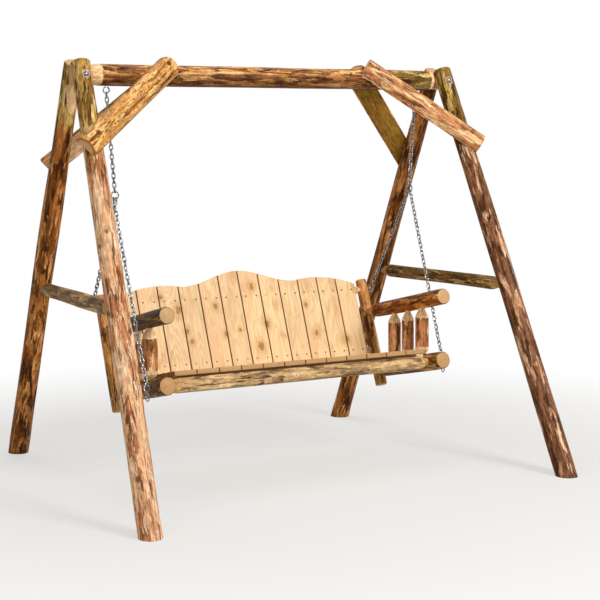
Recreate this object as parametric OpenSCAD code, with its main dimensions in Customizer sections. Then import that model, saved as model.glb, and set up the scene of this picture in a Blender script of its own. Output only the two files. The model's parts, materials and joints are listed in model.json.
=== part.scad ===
// Garden swing in skip-peeled logs: a two-seat slatted bench hangs on welded chain
// from an A-frame of six logs and four half-log braces. Millimetres.
// +X runs along the top beam to the sitter's left, -Y is the front of the seat, +Z is up.
// The origin lies on the ground under the middle of the beam.

/* [A-frame] */
// Height of the leg tops above the ground, at their axes
frame_h = 1760; // [1650:10:1900]
// Distance between the left and right leg axes at the leg tops
top_spread = 1780; // [1740:10:1860]
// Distance between the two front feet
foot_spread_front = 1960; // [1880:10:2060]
// Distance between the two rear feet
foot_spread_rear = 1760; // [1750:10:1900]
// Distance from the front feet to the rear feet
stance = 1700; // [1600:10:1850]
// Distance between the front and rear leg axes at the leg tops
top_gap = 66; // [60:1:80]
// Log diameter at the leg tops
leg_top_d = 80; // [76:1:90]
// Log diameter at the feet
leg_foot_d = 92; // [84:1:104]
// Height of the two side stretchers above the ground
stretcher_h = 800; // [700:10:900]
// Log diameter of the stretchers
stretcher_d = 60; // [50:1:68]
// Diameter of the stretchers' tenons
stretcher_tenon_d = 38; // [30:1:44]

/* [Beam] */
// Log diameter of the top beam
beam_d = 90; // [84:1:100]
// Depth of the beam's axis below the leg tops
beam_drop = 48; // [44:1:60]
// Diameter of the beam where it enters between the legs
beam_end_d = 78; // [70:1:82]
// Length of the peeled taper at each end of the beam
beam_taper = 50; // [30:1:80]
// Thickness of the flattened tenon that the legs clamp
tenon_t = 36; // [32:1:42]
// Length of the tenon past the apex bolt
tenon_past = 28; // [20:1:34]

/* [Half-log braces] */
// Diameter of the log that is sawn in two for the braces
brace_d = 100; // [88:1:110]
// Depth of a front brace's lower end below the leg tops
brace_drop = 345; // [300:5:400]
// Distance along the beam from a front brace's lower end to its upper end
brace_reach = 480; // [440:5:520]
// Distance that a front brace's lower end stands out past the leg's axis
brace_over = 50; // [40:1:60]
// Depth of a rear brace's lower end below the leg tops
rear_brace_drop = 432; // [400:4:460]
// Depth of a rear brace's upper end below the leg tops
rear_brace_below = 19; // [10:1:24]
// Distance along the beam from a rear brace's lower end to its upper end
rear_brace_reach = 462; // [430:4:500]
// Distance that a rear brace's lower end stands out past the leg's axis
rear_brace_over = 34; // [30:1:44]
// Depth of the saddles where a brace sits on the leg and the beam
saddle = 6; // [3:1:9]

/* [Hardware] */
// Diameter of the apex bolts
bolt_d = 10; // [8:1:12]
// Diameter of the washers of the apex bolts
washer_d = 28; // [24:1:32]
// Depth of the flats that seat the washers
spot_depth = 9; // [8:1:12]
// Diameter of the brace lag screws
lag_d = 8; // [6:1:10]
// Diameter of the counterbores over the lag screws
lag_bore_d = 20; // [18:1:24]
// Length of the brace lag screws under their heads
lag_len = 70; // [62:1:74]
// Height of the lag screws' heads above the braces' sawn faces
lag_head_at = 28; // [24:1:32]
// Least distance from a brace's upper end to its lag screw
lag_from_end = 35; // [30:1:45]
// Wire diameter of the screw eyes and joining rings
eye_wire = 6; // [5:0.5:6.5]
// Centreline radius of the screw eyes
eye_r = 13; // [12.5:0.5:15]
// Centreline radius of the joining rings
ring_r = 16; // [15.5:0.5:20]
// Depth of the screw eyes in the wood
eye_depth = 52; // [45:1:60]

/* [Chain] */
// Wire diameter of the chain
chain_wire = 5; // [4:0.5:5]
// Length of a link's opening
link_in = 19.8; // [19:0.1:21]
// Width of a link's opening
link_w = 8.5; // [8.5:0.1:9]
// Number of links in an upper chain, an odd number
upper_links = 21; // [19:2:23]
// Number of links in a front chain, an odd number
front_links = 41; // [39:2:43]
// Number of links in a rear chain, an odd number
rear_links = 29; // [27:2:31]
// Number of loose links that hang under each front seat eye
tail_links = 2; // [1:1:4]
// Half distance between the two beam eyes
beam_eye_x = 765; // [740:1:780]
// Half distance between the two joining rings
ring_x = 735; // [725:1:745]

/* [Bench sides] */
// Half distance between the axes of the two bench sides
side_x = 675; // [660:1:682]
// Slope of the seat and the arms down to the back, in degrees
seat_slope = 12; // [8:0.5:14]
// Distance from the front ends of the side rails to the back posts' axes
rail_len = 540; // [520:1:580]
// Log diameter of the side rails
rail_d = 75; // [70:1:80]
// Log diameter of the back posts
post_d = 55; // [52:1:62]
// Length of the back posts
post_len = 520; // [490:1:560]
// Length of the back posts below the side rails' axes
post_foot = 76; // [55:1:95]
// Lean of the back posts from upright, in degrees
back_lean = 21; // [18:0.5:25]
// Log diameter of the arms
arm_d = 70; // [62:1:74]
// Height of the arms' axes above the side rails' axes
arm_rise = 285; // [260:1:310]
// Distance that the arms reach forward of the side rails
arm_over = 0; // [0:1:30]
// Diameter of the tenons of the side rails and the arms
side_tenon_d = 34; // [28:1:38]
// Log diameter of the spindles under the arms
spindle_d = 60; // [50:1:64]
// Diameter of the spindles' tenons
spindle_tenon_d = 26; // [20:1:30]
// Distance from the front ends of the side rails to the first spindle
spindle_first = 170; // [142:1:176]
// Distance from one spindle to the next
spindle_pitch = 110; // [85:1:114]

/* [Seat] */
// Distance from the front ends of the side rails to the front rail's axis
front_rail_in = 84; // [80:1:90]
// Log diameter of the front rail
front_rail_d = 62; // [54:1:64]
// Diameter of the front rail's tenons
front_tenon_d = 36; // [30:1:40]
// Number of slats in the seat and of boards in the back
board_count = 12; // [10:1:12]
// Width of a slat or a back board
board_w = 100; // [90:1:100]
// Gap between two slats or two back boards
board_gap = 3; // [2:0.5:4]
// Thickness of the seat slats
slat_t = 20; // [16:1:24]
// Length of the seat slats
slat_len = 480; // [440:1:482]
// Distance from the front ends of the side rails to the slats' front edges
slat_in = 50; // [42:1:60]
// Side of the square cleats that carry the slats
cleat_s = 40; // [34:1:42]
// Height of the slats' undersides above the side rails' axes
slat_rise = 39; // [38:0.5:44]
// Distance from the slats' rear ends to the rear cleat
cleat_in = 50; // [30:5:90]

/* [Back] */
// Thickness of the back boards
back_t = 16; // [14:1:20]
// Distance of the boards' rear faces in front of the posts' axes
back_set = 12; // [9:1:15]
// Log diameter of the two back rails
back_rail_d = 46; // [42:1:50]
// Diameter of the back rails' tenons
back_tenon_d = 26; // [22:1:30]
// Distance from the posts' tops down to the upper back rail
upper_rail_down = 51; // [45:1:60]
// Distance from the posts' tops down to the lower back rail
lower_rail_down = 345; // [320:1:350]
// Gap between the slats and the boards' lower ends
board_lift = 1; // [0.5:0.5:6]
// Height of the middle crown above the posts' tops
crown_h = 72; // [50:1:90]
// Height of the two dips above the posts' tops
dip_h = 11; // [0:1:20]
// Height of the two side crowns above the posts' tops
wing_h = 21; // [15:1:30]
// Depth of the outer corners below the posts' tops
corner_drop = 22; // [0:1:30]
// Distance from the middle of the back to the dips
dip_x = 285; // [240:5:320]
// Distance from the middle of the back to the side crowns
wing_x = 395; // [360:5:450]

/* [Hidden] */
$fn = 64;

// radial clearance of every tenon, shank and let-in end in its hole
fit = 0.25;
// gap between two links, or a link and the wire it hangs on
play = 0.3;
// gap between flat sawn faces and what they seat on
seat_gap = 0.2;
// how far cutting tools reach past what they cut
past = 60;
// bevel on the cut ends of the logs
bevel = 4;

bark = [0.52, 0.33, 0.18];
peeled = [0.80, 0.62, 0.38];
pine = [0.88, 0.70, 0.44];
zinc = [0.72, 0.73, 0.75];

// --- frame geometry; the front is worked out and the rear mirrored ---
beam_z = frame_h - beam_drop;
leg_lean = atan((stance - top_gap) / 2 / frame_h);
function leg_y(z) = top_gap / 2 + (stance - top_gap) / 2 * (frame_h - z) / frame_h;
function leg_x(z, spread) = top_spread / 2 + (spread - top_spread) / 2 * (frame_h - z) / frame_h;
function leg_r(z) = (leg_top_d + (leg_foot_d - leg_top_d) * (frame_h - z) / frame_h) / 2;
// face of the washer seats, measured from the middle plane
spot_y = leg_y(beam_z) + leg_r(beam_z) / cos(leg_lean) - spot_depth;

// --- brace planes: the front and the rear one each touch the beam and a leg, less the saddles ---
function spread_of(front) = front ? foot_spread_front : foot_spread_rear;
function brace_low_z(front) = frame_h - (front ? brace_drop : rear_brace_drop);
function brace_lean(front) = let (z = brace_low_z(front), a = leg_y(z), h = beam_z - z)
    atan(a / h) - asin((beam_d / 2 - leg_r(z)) / norm([a, h]));
brace_off = beam_d / 2 - saddle;
// point of a brace plane at height z, in front of the middle; the rear braces are mirrored
function brace_pt(front, x, z) =
    let (lean = brace_lean(front), v = (z - beam_z - brace_off * sin(lean)) / cos(lean))
    [x, -brace_off * cos(lean) + v * sin(lean), z];
function brace_low_x(front) =
    leg_x(brace_low_z(front), spread_of(front)) + (front ? brace_over : rear_brace_over);
function brace_top_x(front) = brace_low_x(front) - (front ? brace_reach : rear_brace_reach);
function brace_low(front) = brace_pt(front, brace_low_x(front), brace_low_z(front));
function brace_top(front) = brace_pt(front, brace_top_x(front), frame_h - (front ? 0 : rear_brace_below));

// --- chain geometry ---
wire_r = chain_wire / 2;
eye_wire_r = eye_wire / 2;
pitch = link_in - play;
bend_r = link_w / 2 + wire_r;
// from a wire's centre to the centre of the link wire that hangs on it
hook = eye_wire_r + play + wire_r;
// length of a chain of n links from wire centre to wire centre
function chain_len(n) = link_in - 2 * (eye_wire_r + play) + (n - 1) * pitch;
beam_eye_z = beam_z - beam_d / 2 - eye_r - eye_wire_r - 1;
swing_z = beam_eye_z - eye_r;
ring_z = swing_z - sqrt(pow(chain_len(upper_links), 2) - pow(beam_eye_x - ring_x, 2)) - ring_r;
// the two lower chains hang side by side in the joining ring
ring_side = 6;
rock_z = ring_z - sqrt(pow(ring_r - hook, 2) - pow(ring_side, 2)) - hook;

// --- bench geometry, from the front end of a side rail's axis ---
function rail_pt(t) = [t * cos(seat_slope), -t * sin(seat_slope)];
post_joint = rail_pt(rail_len);
post_top = post_joint + (post_len - post_foot) * [sin(back_lean), cos(back_lean)];
function post_pt(s) = post_top - s * [sin(back_lean), cos(back_lean)];
// lean of the posts from the seat's own upright
back_to_seat = back_lean - seat_slope;
// the arm's length to the post's axis
arm_len = ((post_joint[0] + arm_over) * cos(back_lean) - (post_joint[1] - arm_rise) * sin(back_lean))
    / cos(back_to_seat);
function rail_axis_z(y) = -y * tan(seat_slope);
function arm_axis_z(y) = arm_rise - (y + arm_over) * tan(seat_slope);

// --- the back boards end just over the slats ---
board_down = post_len - post_foot
    - (slat_rise + slat_t + board_lift - back_set * sin(back_to_seat)) / cos(back_to_seat);

// --- the bench hangs where its two chains meet the joining ring ---
front_eye = rail_pt(front_rail_in);
rear_eye = post_pt(upper_rail_down);
front_eye_x = side_x + rail_d / 2 + eye_r + eye_wire_r + 1;
rear_eye_x = side_x + post_d / 2 + eye_r + eye_wire_r + 1;
front_reach = sqrt(pow(chain_len(front_links) + eye_r, 2) - pow(ring_x + ring_side - front_eye_x, 2));
rear_reach = sqrt(pow(chain_len(rear_links) + eye_r, 2) - pow(ring_x - ring_side - rear_eye_x, 2));
eye_span = norm(rear_eye - front_eye);
eye_dir = (rear_eye - front_eye) / eye_span;
ring_along = (pow(front_reach, 2) - pow(rear_reach, 2) + pow(eye_span, 2)) / (2 * eye_span);
ring_above = sqrt(pow(front_reach, 2) - pow(ring_along, 2));
ring_at = front_eye + ring_along * eye_dir + ring_above * [-eye_dir[1], eye_dir[0]];
bench_y = -ring_at[0];
bench_z = rock_z - ring_at[1];
rock_front = [ring_x + ring_side, 0, rock_z];
rock_rear = [ring_x - ring_side, 0, rock_z];
eye_front_3d = [front_eye_x, bench_y + front_eye[0], bench_z + front_eye[1]];
eye_rear_3d = [rear_eye_x, bench_y + rear_eye[0], bench_z + rear_eye[1]];

board_pitch = board_w + board_gap;
cleat_half = side_x - 23;
tenon_in = 8;

// ================= shapes =================

// places children at p with +Z turned towards q
module along(p, q) {
    v = q - p;
    translate(p) rotate([0, acos(v[2] / norm(v)), atan2(v[1], v[0])]) children();
}

// log from z = 0 to len: bevelled ends, d0 at the bottom and d1 at the top
module log(len, d0, d1) {
    rotate_extrude()
        polygon([[0, 0], [d0 / 2 - bevel, 0], [d0 / 2, bevel],
                 [d1 / 2, len - bevel], [d1 / 2 - bevel, len], [0, len]]);
}

// log with a round tenon at each end: tenon length and diameter, then the length of the
// peeled cone; grow swells the whole blank, to cut its own mortises
module tenoned_log(len, d, tenon, cone, tenon_diameter, grow = 0) {
    r = d / 2 + grow;
    tr = tenon_diameter / 2 + grow;
    rotate_extrude()
        polygon([[0, -grow], [tr, -grow], [tr, tenon[0]], [r, tenon[0] + cone[0]],
                 [r, len - tenon[1] - cone[1]], [tr, len - tenon[1]], [tr, len + grow],
                 [0, len + grow]]);
}

// log with one plain bevelled end at z = 0 and a tenon at z = len
module arm_log(len, d0, d1, tenon, cone, tenon_diameter, grow = 0) {
    tr = tenon_diameter / 2 + grow;
    rotate_extrude()
        polygon([[0, -grow], [d0 / 2 - bevel + grow, -grow], [d0 / 2 + grow, bevel],
                 [d1 / 2 + grow, len - tenon - cone], [tr, len - tenon], [tr, len + grow],
                 [0, len + grow]]);
}

// torus in the XZ plane
module wire_ring(r, wire) {
    rotate([90, 0, 0]) rotate_extrude() translate([r, 0]) circle(d = wire, $fn = 24);
}

// one welded link, long axis along Z, flat in the YZ plane
module link() {
    half = link_in / 2 - link_w / 2;
    for (s = [0, 1]) mirror([0, 0, s]) translate([0, 0, half]) rotate([90, 0, 90])
        rotate_extrude(angle = 180) translate([bend_r, 0]) circle(d = chain_wire, $fn = 24);
    for (s = [-1, 1]) translate([0, s * bend_r, -half]) cylinder(d = chain_wire, h = 2 * half, $fn = 24);
}

// n links from the wire at p down towards q; odd links lie square to X
module chain(p, q, n) {
    v = (q - p) / norm(q - p);
    translate(p) rotate([asin(v[1]), atan2(-v[0], -v[2]), 0])
        for (k = [0:n - 1])
            translate([0, 0, eye_wire_r + play - link_in / 2 - k * pitch]) rotate([0, 0, 90 * (k % 2)]) link();
}

// screw eye: ring centred on the origin in the XZ plane, shank along -X
module screw_eye(depth) {
    wire_ring(eye_r, eye_wire);
    translate([-eye_r, 0, 0]) rotate([0, -90, 0]) eye_shank(depth, eye_wire);
}
module eye_shank(depth, d) {
    cylinder(d = d, h = depth + eye_wire_r + 1, $fn = 32);
}

module hex(across, h) {
    cylinder(d = across / cos(30), h = h, $fn = 6);
}

module place_side(right) {
    mirror([right ? 0 : 1, 0, 0]) children();
}

// bench coordinates to the frame's
module on_bench() {
    translate([0, bench_y, bench_z]) children();
}

// coordinates of the sloping seat: +Y down to the back, +Z square to the slats
module on_seat() {
    on_bench() rotate([-seat_slope, 0, 0]) children();
}

// coordinates of the back: origin at a post's top, +Z up the post, -Y to the sitter
module on_back() {
    on_bench() translate([0, post_top[0], post_top[1]]) rotate([-back_lean, 0, 0]) children();
}

// ================= A-frame =================

module leg_log(spread) {
    top = [top_spread / 2, -top_gap / 2, frame_h];
    foot = [spread / 2, -stance / 2, 0];
    down = (foot - top) / norm(foot - top);
    grade = (leg_foot_d - leg_top_d) / norm(foot - top);
    intersection() {
        along(foot + past * down, top)
            log(norm(foot - top) + past, leg_foot_d + grade * past, leg_top_d);
        translate([0, -stance, 0]) cube([2 * top_spread, 2 * stance, 2 * frame_h]);
    }
}

module leg_front_of(front) {
    difference() {
        leg_log(spread_of(front));
        // flat that clamps the beam's tenon
        translate([0, -tenon_t / 2 - seat_gap, frame_h / 2]) cube([2 * top_spread, past, frame_h]);
        translate([top_spread / 2, 0, beam_z]) rotate([90, 0, 0])
            cylinder(d = bolt_d + 2 * fit, h = top_gap + leg_top_d, $fn = 32);
        // spot face for the washer
        translate([top_spread / 2, -spot_y, beam_z]) rotate([90, 0, 0])
            cylinder(d = washer_d + 8, h = past, $fn = 48);
        stretcher_blank(fit, front);
        brace_lag_holes(front, lag_d + 2 * fit, 0);
    }
}

module leg(right, front) {
    color(bark) place_side(right) mirror([0, front ? 0 : 1, 0]) leg_front_of(front);
}

// the right stretcher's blank; a leg cuts its mortise with it, so the blank runs from that
// leg's own side to the other
module stretcher_blank(grow, front_leg) {
    rear = [leg_x(stretcher_h, foot_spread_rear), leg_y(stretcher_h), stretcher_h];
    front = [leg_x(stretcher_h, foot_spread_front), -leg_y(stretcher_h), stretcher_h];
    dir = (front - rear) / norm(front - rear);
    mirror([0, front_leg ? 0 : 1, 0]) along(rear - 12 * dir, front) stretcher_log(norm(front - rear) + 24, grow);
}

module stretcher_log(len, grow) {
    tenon = 12 + leg_r(stretcher_h) / cos(leg_lean) + stretcher_tenon_d / 2 * tan(leg_lean) + 1;
    tenoned_log(len, stretcher_d, [tenon, tenon], [42, 42], stretcher_tenon_d, grow);
}

module stretcher(right) {
    color(bark) place_side(right) stretcher_blank(0, true);
}

module beam() {
    half = top_spread / 2 - leg_top_d / 2 - 3;
    color(bark) difference() {
        translate([0, 0, beam_z]) rotate([0, 90, 0]) union() {
            intersection() {
                cylinder(d = beam_end_d, h = top_spread + 2 * tenon_past, center = true);
                cube([beam_end_d + 2, tenon_t, top_spread + 4 * tenon_past], center = true);
            }
            for (s = [0, 1]) mirror([0, 0, s]) rotate_extrude()
                polygon([[0, 0], [beam_d / 2, 0], [beam_d / 2, half - beam_taper], [beam_end_d / 2, half], [0, half]]);
        }
        for (s = [-1, 1]) {
            translate([s * top_spread / 2, 0, beam_z]) rotate([90, 0, 0])
                cylinder(d = bolt_d + 2 * fit, h = 2 * tenon_t, center = true, $fn = 32);
            translate([s * beam_eye_x, 0, beam_z - beam_d / 2 - 1])
                cylinder(d = eye_wire + 2 * fit, h = eye_depth + 1 + fit, $fn = 32);
            for (f = [0, 1]) mirror([0, f, 0]) place_side(s > 0)
                brace_lag_holes(f == 0, lag_d + 2 * fit, 0);
        }
    }
}

// half log on the brace plane, round side out; trimmed by the leg and the beam it sits on
module brace_front_of(front) {
    low = brace_low(front);
    top = brace_top(front);
    lean = brace_lean(front);
    difference() {
        along(low, top) cylinder(d = brace_d, h = norm(top - low));
        // sawn face
        translate([0, -brace_off * cos(lean), beam_z + brace_off * sin(lean)])
            rotate([-lean, 0, 0]) translate([0, 0, -frame_h / 2]) cube([top_spread, brace_d, frame_h]);
        saddle_cut(spread_of(front));
        brace_lag_holes(front, lag_d + 2 * fit, lag_bore_d);
    }
}

module saddle_cut(spread) {
    top = [top_spread / 2, -top_gap / 2, frame_h];
    foot = [spread / 2, -stance / 2, 0];
    along(foot, top) cylinder(d1 = leg_foot_d + 2 * seat_gap, d2 = leg_top_d + 2 * seat_gap, h = norm(foot - top));
    translate([0, 0, beam_z]) rotate([0, 90, 0]) cylinder(d = beam_d + 2 * seat_gap, h = top_spread / 2 - leg_top_d);
}

// the two lag screws of a brace stand square to its sawn face, over the leg and the beam
function brace_lag_at(front, k) = let (low = brace_low(front), top = brace_top(front),
    on_leg = (front ? brace_over : rear_brace_over) / (low[0] - top[0]),
    on_beam = (beam_z + brace_off * sin(brace_lean(front)) - low[2]) / (top[2] - low[2]),
    t = k == 0 ? on_leg : min(on_beam, 1 - lag_from_end / norm(top - low)))
    low + t * (top - low);

module at_brace_lag(front, k) {
    translate(brace_lag_at(front, k)) rotate([90 - brace_lean(front), 0, 0]) children();
}

module brace_lag_holes(front, d, bore) {
    for (k = [0, 1]) at_brace_lag(front, k) {
        translate([0, 0, lag_head_at - lag_len - fit]) cylinder(d = d, h = lag_len + fit, $fn = 32);
        if (bore > 0) translate([0, 0, lag_head_at]) cylinder(d = bore, h = past, $fn = 32);
    }
}

module brace(right, front) {
    color(bark) place_side(right) mirror([0, front ? 0 : 1, 0]) brace_front_of(front);
}

module brace_lags() {
    color(zinc) for (right = [true, false]) place_side(right) for (f = [0, 1]) mirror([0, f, 0])
        for (k = [0, 1]) at_brace_lag(f == 0, k) {
            translate([0, 0, lag_head_at - lag_len]) cylinder(d = lag_d, h = lag_len + play, $fn = 32);
            translate([0, 0, lag_head_at + play]) hex(13, 6);
        }
}

// bolt with a domed head and washer in front, washer and nut behind
module apex_bolts() {
    color(zinc) for (s = [-1, 1]) translate([s * top_spread / 2, 0, beam_z]) rotate([90, 0, 0]) {
        translate([0, 0, spot_y + 0.1]) cylinder(d = washer_d, h = 2.4);
        translate([0, 0, spot_y + 2.4]) intersection() {
            cylinder(d = 2 * bolt_d, h = 7);
            translate([0, 0, -8]) sphere(r = 15);
        }
        translate([0, 0, -spot_y - 18]) cylinder(d = bolt_d, h = 2 * spot_y + 22, $fn = 32);
        translate([0, 0, -spot_y - 2.5]) cylinder(d = washer_d, h = 2.4);
        translate([0, 0, -spot_y - 11]) hex(17, 8.6);
    }
}

// ================= chains and eyes =================

module beam_eyes() {
    color(zinc) for (s = [-1, 1]) translate([s * beam_eye_x, 0, beam_eye_z]) {
        wire_ring(eye_r, eye_wire);
        translate([0, 0, eye_r]) eye_shank(eye_depth, eye_wire);
    }
}

module upper_chain(right) {
    color(zinc) place_side(right)
        chain([beam_eye_x, 0, swing_z], [ring_x, 0, ring_z + ring_r], upper_links);
}

module joining_rings() {
    color(zinc) for (s = [-1, 1]) translate([s * ring_x, 0, ring_z]) wire_ring(ring_r, eye_wire);
}

// the spare end of the chain hangs under the eye, which is turned into the pull
module front_chain(right) {
    pull = (rock_front - eye_front_3d) / norm(rock_front - eye_front_3d);
    under = eye_front_3d - eye_r * [0, pull[1], pull[2]] / norm([pull[1], pull[2]]);
    color(zinc) place_side(right) {
        chain(rock_front, eye_front_3d, front_links);
        chain(under, under - [0, 0, link_in], tail_links);
    }
}

module rear_chain(right) {
    color(zinc) place_side(right) chain(rock_rear, eye_rear_3d, rear_links);
}

// screw eye of a bench side, its ring turned into the pull of the chain from p
module seat_eye(p, centre) {
    v = p - centre;
    translate(centre) rotate([-atan2(v[1], v[2]), 0, 0]) screw_eye(eye_depth);
}

module seat_eyes() {
    color(zinc) for (right = [true, false]) place_side(right) {
        seat_eye(rock_front, eye_front_3d);
        seat_eye(rock_rear, eye_rear_3d);
    }
}

// holes of the screw eyes, along X from the outer face
module seat_eye_holes() {
    for (c = [[rail_d, front_eye], [post_d, rear_eye]]) on_bench() translate([side_x + c[0] / 2 + 5, c[1][0], c[1][1]])
        rotate([0, -90, 0]) cylinder(d = eye_wire + 2 * fit, h = eye_depth + 5 + fit, $fn = 32);
}

// ================= bench sides =================

module side_rail_blank(grow) {
    on_bench() translate([side_x, 0, 0]) rotate([-90 - seat_slope, 0, 0])
        arm_log(rail_len + tenon_in, rail_d, rail_d, tenon_in + post_d / 2 / cos(back_to_seat) + 5,
                48, side_tenon_d, grow);
}

module arm_blank(grow) {
    on_bench() translate([side_x, -arm_over, arm_rise]) rotate([-90 - seat_slope, 0, 0])
        arm_log(arm_len + tenon_in, arm_d, arm_d - 6, tenon_in + post_d / 2 / cos(back_to_seat) + 5,
                62, side_tenon_d, grow);
}

module spindle_blanks(grow) {
    on_bench() for (k = [0:2]) {
        y = spindle_first + k * spindle_pitch;
        low = rail_axis_z(y) + tenon_in;
        top = arm_axis_z(y) - tenon_in;
        rise = spindle_tenon_d / 2 * tan(seat_slope) + 1;
        translate([side_x, y, low])
            tenoned_log(top - low, spindle_d,
                        [rail_d / 2 / cos(seat_slope) + rise - tenon_in, arm_d / 2 / cos(seat_slope) + rise - tenon_in],
                        [22, 34], spindle_tenon_d, grow);
    }
}

module side_rail(right) {
    color(bark) place_side(right) difference() {
        side_rail_blank(0);
        spindle_blanks(fit);
        front_rail_blank(fit);
        seat_eye_holes();
        for (y = cleat_y) cleat_blank(y, seat_gap);
    }
}

module back_post(right) {
    color(bark) place_side(right) difference() {
        on_back() translate([side_x, 0, -post_len]) log(post_len, post_d, post_d - 4);
        side_rail_blank(fit);
        arm_blank(fit);
        back_rail_blank(upper_rail_down, fit);
        back_rail_blank(lower_rail_down, fit);
        seat_eye_holes();
    }
}

module arm(right) {
    color(bark) place_side(right) difference() {
        arm_blank(0);
        spindle_blanks(fit);
    }
}

module spindles(right) {
    color(bark) place_side(right) spindle_blanks(0);
}

// ================= seat =================

module front_rail_blank(grow) {
    half = side_x + tenon_in;
    tenon = tenon_in + rail_d / 2 + 3;
    on_seat() translate([-half, front_rail_in, 0]) rotate([0, 90, 0])
        tenoned_log(2 * half, front_rail_d, [tenon, tenon], [40, 40], front_tenon_d, grow);
}

module front_rail() {
    color(bark) difference() {
        front_rail_blank(0);
        for (right = [true, false]) place_side(right) seat_eye_holes();
    }
}

// places of the two cleats along the side rails
cleat_y = [front_rail_in + front_rail_d / 2 + 4, slat_in + slat_len - cleat_s - cleat_in];

module cleat_blank(y, grow) {
    on_seat() translate([-cleat_half - grow, y - grow, slat_rise - cleat_s - grow])
        cube([2 * (cleat_half + grow), cleat_s + 2 * grow, cleat_s + past * (grow > 0 ? 1 : 0)]);
}

module seat_cleat(y) {
    color(pine) cleat_blank(y, 0);
}

function board_x(i) = (i - (board_count - 1) / 2) * board_pitch;

module seat_slat(i) {
    color(pine) on_seat() translate([board_x(i) - board_w / 2, slat_in, slat_rise + 0.1])
        cube([board_w, slat_len, slat_t - 0.1]);
}

// ================= back =================

// back rail with its front sawn flat for the boards
module back_rail_blank(down, grow) {
    half = side_x + tenon_in;
    tenon = tenon_in + post_d / 2 + 2;
    on_back() difference() {
        translate([-half, 0, -down]) rotate([0, 90, 0])
            tenoned_log(2 * half, back_rail_d, [tenon, tenon], [36, 36], back_tenon_d, grow);
        translate([-half + tenon, -past - back_set, -down - past]) cube([2 * (half - tenon), past, 2 * past]);
    }
}

module back_rail(down) {
    color(bark) difference() {
        back_rail_blank(down, 0);
        for (right = [true, false]) place_side(right) seat_eye_holes();
    }
}

// height of the scalloped top edge over the posts' tops: a cosine crown in the middle,
// then a parabola up to each side crown and one down to the corner
back_half = (board_count * board_pitch - board_gap) / 2;
function top_edge(x) = let (d = abs(x))
    d < dip_x ? dip_h + (crown_h - dip_h) * (1 + cos(180 * d / dip_x)) / 2
    : d < wing_x ? wing_h - (wing_h - dip_h) * pow((wing_x - d) / (wing_x - dip_x), 2)
    : wing_h - (wing_h + corner_drop) * pow((d - wing_x) / (back_half - wing_x), 2);

module back_board(i) {
    x0 = board_x(i) - board_w / 2;
    steps = 8;
    color(pine) on_back() translate([0, -back_set - 0.1, 0]) rotate([90, 0, 0])
        linear_extrude(back_t - 0.1)
            polygon(concat([[x0 + board_w, -board_down], [x0, -board_down]],
                [for (k = [0:steps]) let (x = x0 + board_w * k / steps) [x, top_edge(x)]]));
}

// ================= nodes =================

beam();
leg(false, true);  // leg_front_left
leg(true, true);  // leg_front_right
leg(false, false);  // leg_rear_left
leg(true, false);  // leg_rear_right
stretcher(false);  // stretcher_left
stretcher(true);  // stretcher_right
brace(false, true);  // brace_front_left
brace(true, true);  // brace_front_right
brace(false, false);  // brace_rear_left
brace(true, false);  // brace_rear_right
apex_bolts();
brace_lags();
beam_eyes();
upper_chain(false);  // upper_chain_left
upper_chain(true);  // upper_chain_right
joining_rings();
front_chain(false);  // front_chain_left
front_chain(true);  // front_chain_right
rear_chain(false);  // rear_chain_left
rear_chain(true);  // rear_chain_right
seat_eyes();
side_rail(false);  // side_rail_left
side_rail(true);  // side_rail_right
front_rail();
seat_cleat(cleat_y[0]);  // seat_cleat_front
seat_cleat(cleat_y[1]);  // seat_cleat_rear
back_post(false);  // back_post_left
back_post(true);  // back_post_right
back_rail(upper_rail_down);  // back_rail_upper
back_rail(lower_rail_down);  // back_rail_lower
arm(false);  // arm_left
arm(true);  // arm_right
spindles(false);  // spindles_left
spindles(true);  // spindles_right
for (i = [0:board_count - 1]) {
    seat_slat(i);
    back_board(i);
}
echo(leg_lean = leg_lean, brace_lean = brace_lean(true), swing_z = swing_z, ring_z = ring_z, rock_z = rock_z);
echo(bench_y = bench_y, bench_z = bench_z, eye_front = eye_front_3d, eye_rear = eye_rear_3d, arm_len = arm_len);
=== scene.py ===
"""Looks of a garden swing in skip-peeled logs: bench, chains and A-frame, in metres.

Every log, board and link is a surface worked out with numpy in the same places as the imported
frame's solids, and rides on the body of the solid that it stands for.
"""

import json
import logging
import math
from dataclasses import dataclass, field
from enum import Enum
from typing import NamedTuple

import bpy
import numpy as np
from mathutils import Matrix, Vector

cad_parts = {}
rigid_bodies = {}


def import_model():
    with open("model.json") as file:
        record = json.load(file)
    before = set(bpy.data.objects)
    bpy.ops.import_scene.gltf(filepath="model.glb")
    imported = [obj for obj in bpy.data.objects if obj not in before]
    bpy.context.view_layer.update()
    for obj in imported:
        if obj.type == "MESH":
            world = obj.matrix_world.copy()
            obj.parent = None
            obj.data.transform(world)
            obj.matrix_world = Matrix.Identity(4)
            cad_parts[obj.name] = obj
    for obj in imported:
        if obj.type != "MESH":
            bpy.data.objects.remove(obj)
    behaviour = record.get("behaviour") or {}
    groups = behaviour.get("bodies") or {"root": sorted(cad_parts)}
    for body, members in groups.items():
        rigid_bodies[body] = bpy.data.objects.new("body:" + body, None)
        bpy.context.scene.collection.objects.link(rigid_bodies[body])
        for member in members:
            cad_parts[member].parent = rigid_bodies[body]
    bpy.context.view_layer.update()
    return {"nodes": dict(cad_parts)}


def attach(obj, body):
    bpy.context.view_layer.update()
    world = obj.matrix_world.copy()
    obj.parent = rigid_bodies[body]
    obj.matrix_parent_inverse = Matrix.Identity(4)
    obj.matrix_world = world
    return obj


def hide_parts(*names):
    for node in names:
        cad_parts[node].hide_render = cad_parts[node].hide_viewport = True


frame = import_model()

MM = 0.001
SIDES = ("left", "right")
ENDS = ("rear", "front")
LOG = logging.getLogger("swing")

Point = tuple[float, float, float]
Colour = tuple[float, float, float]


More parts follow.
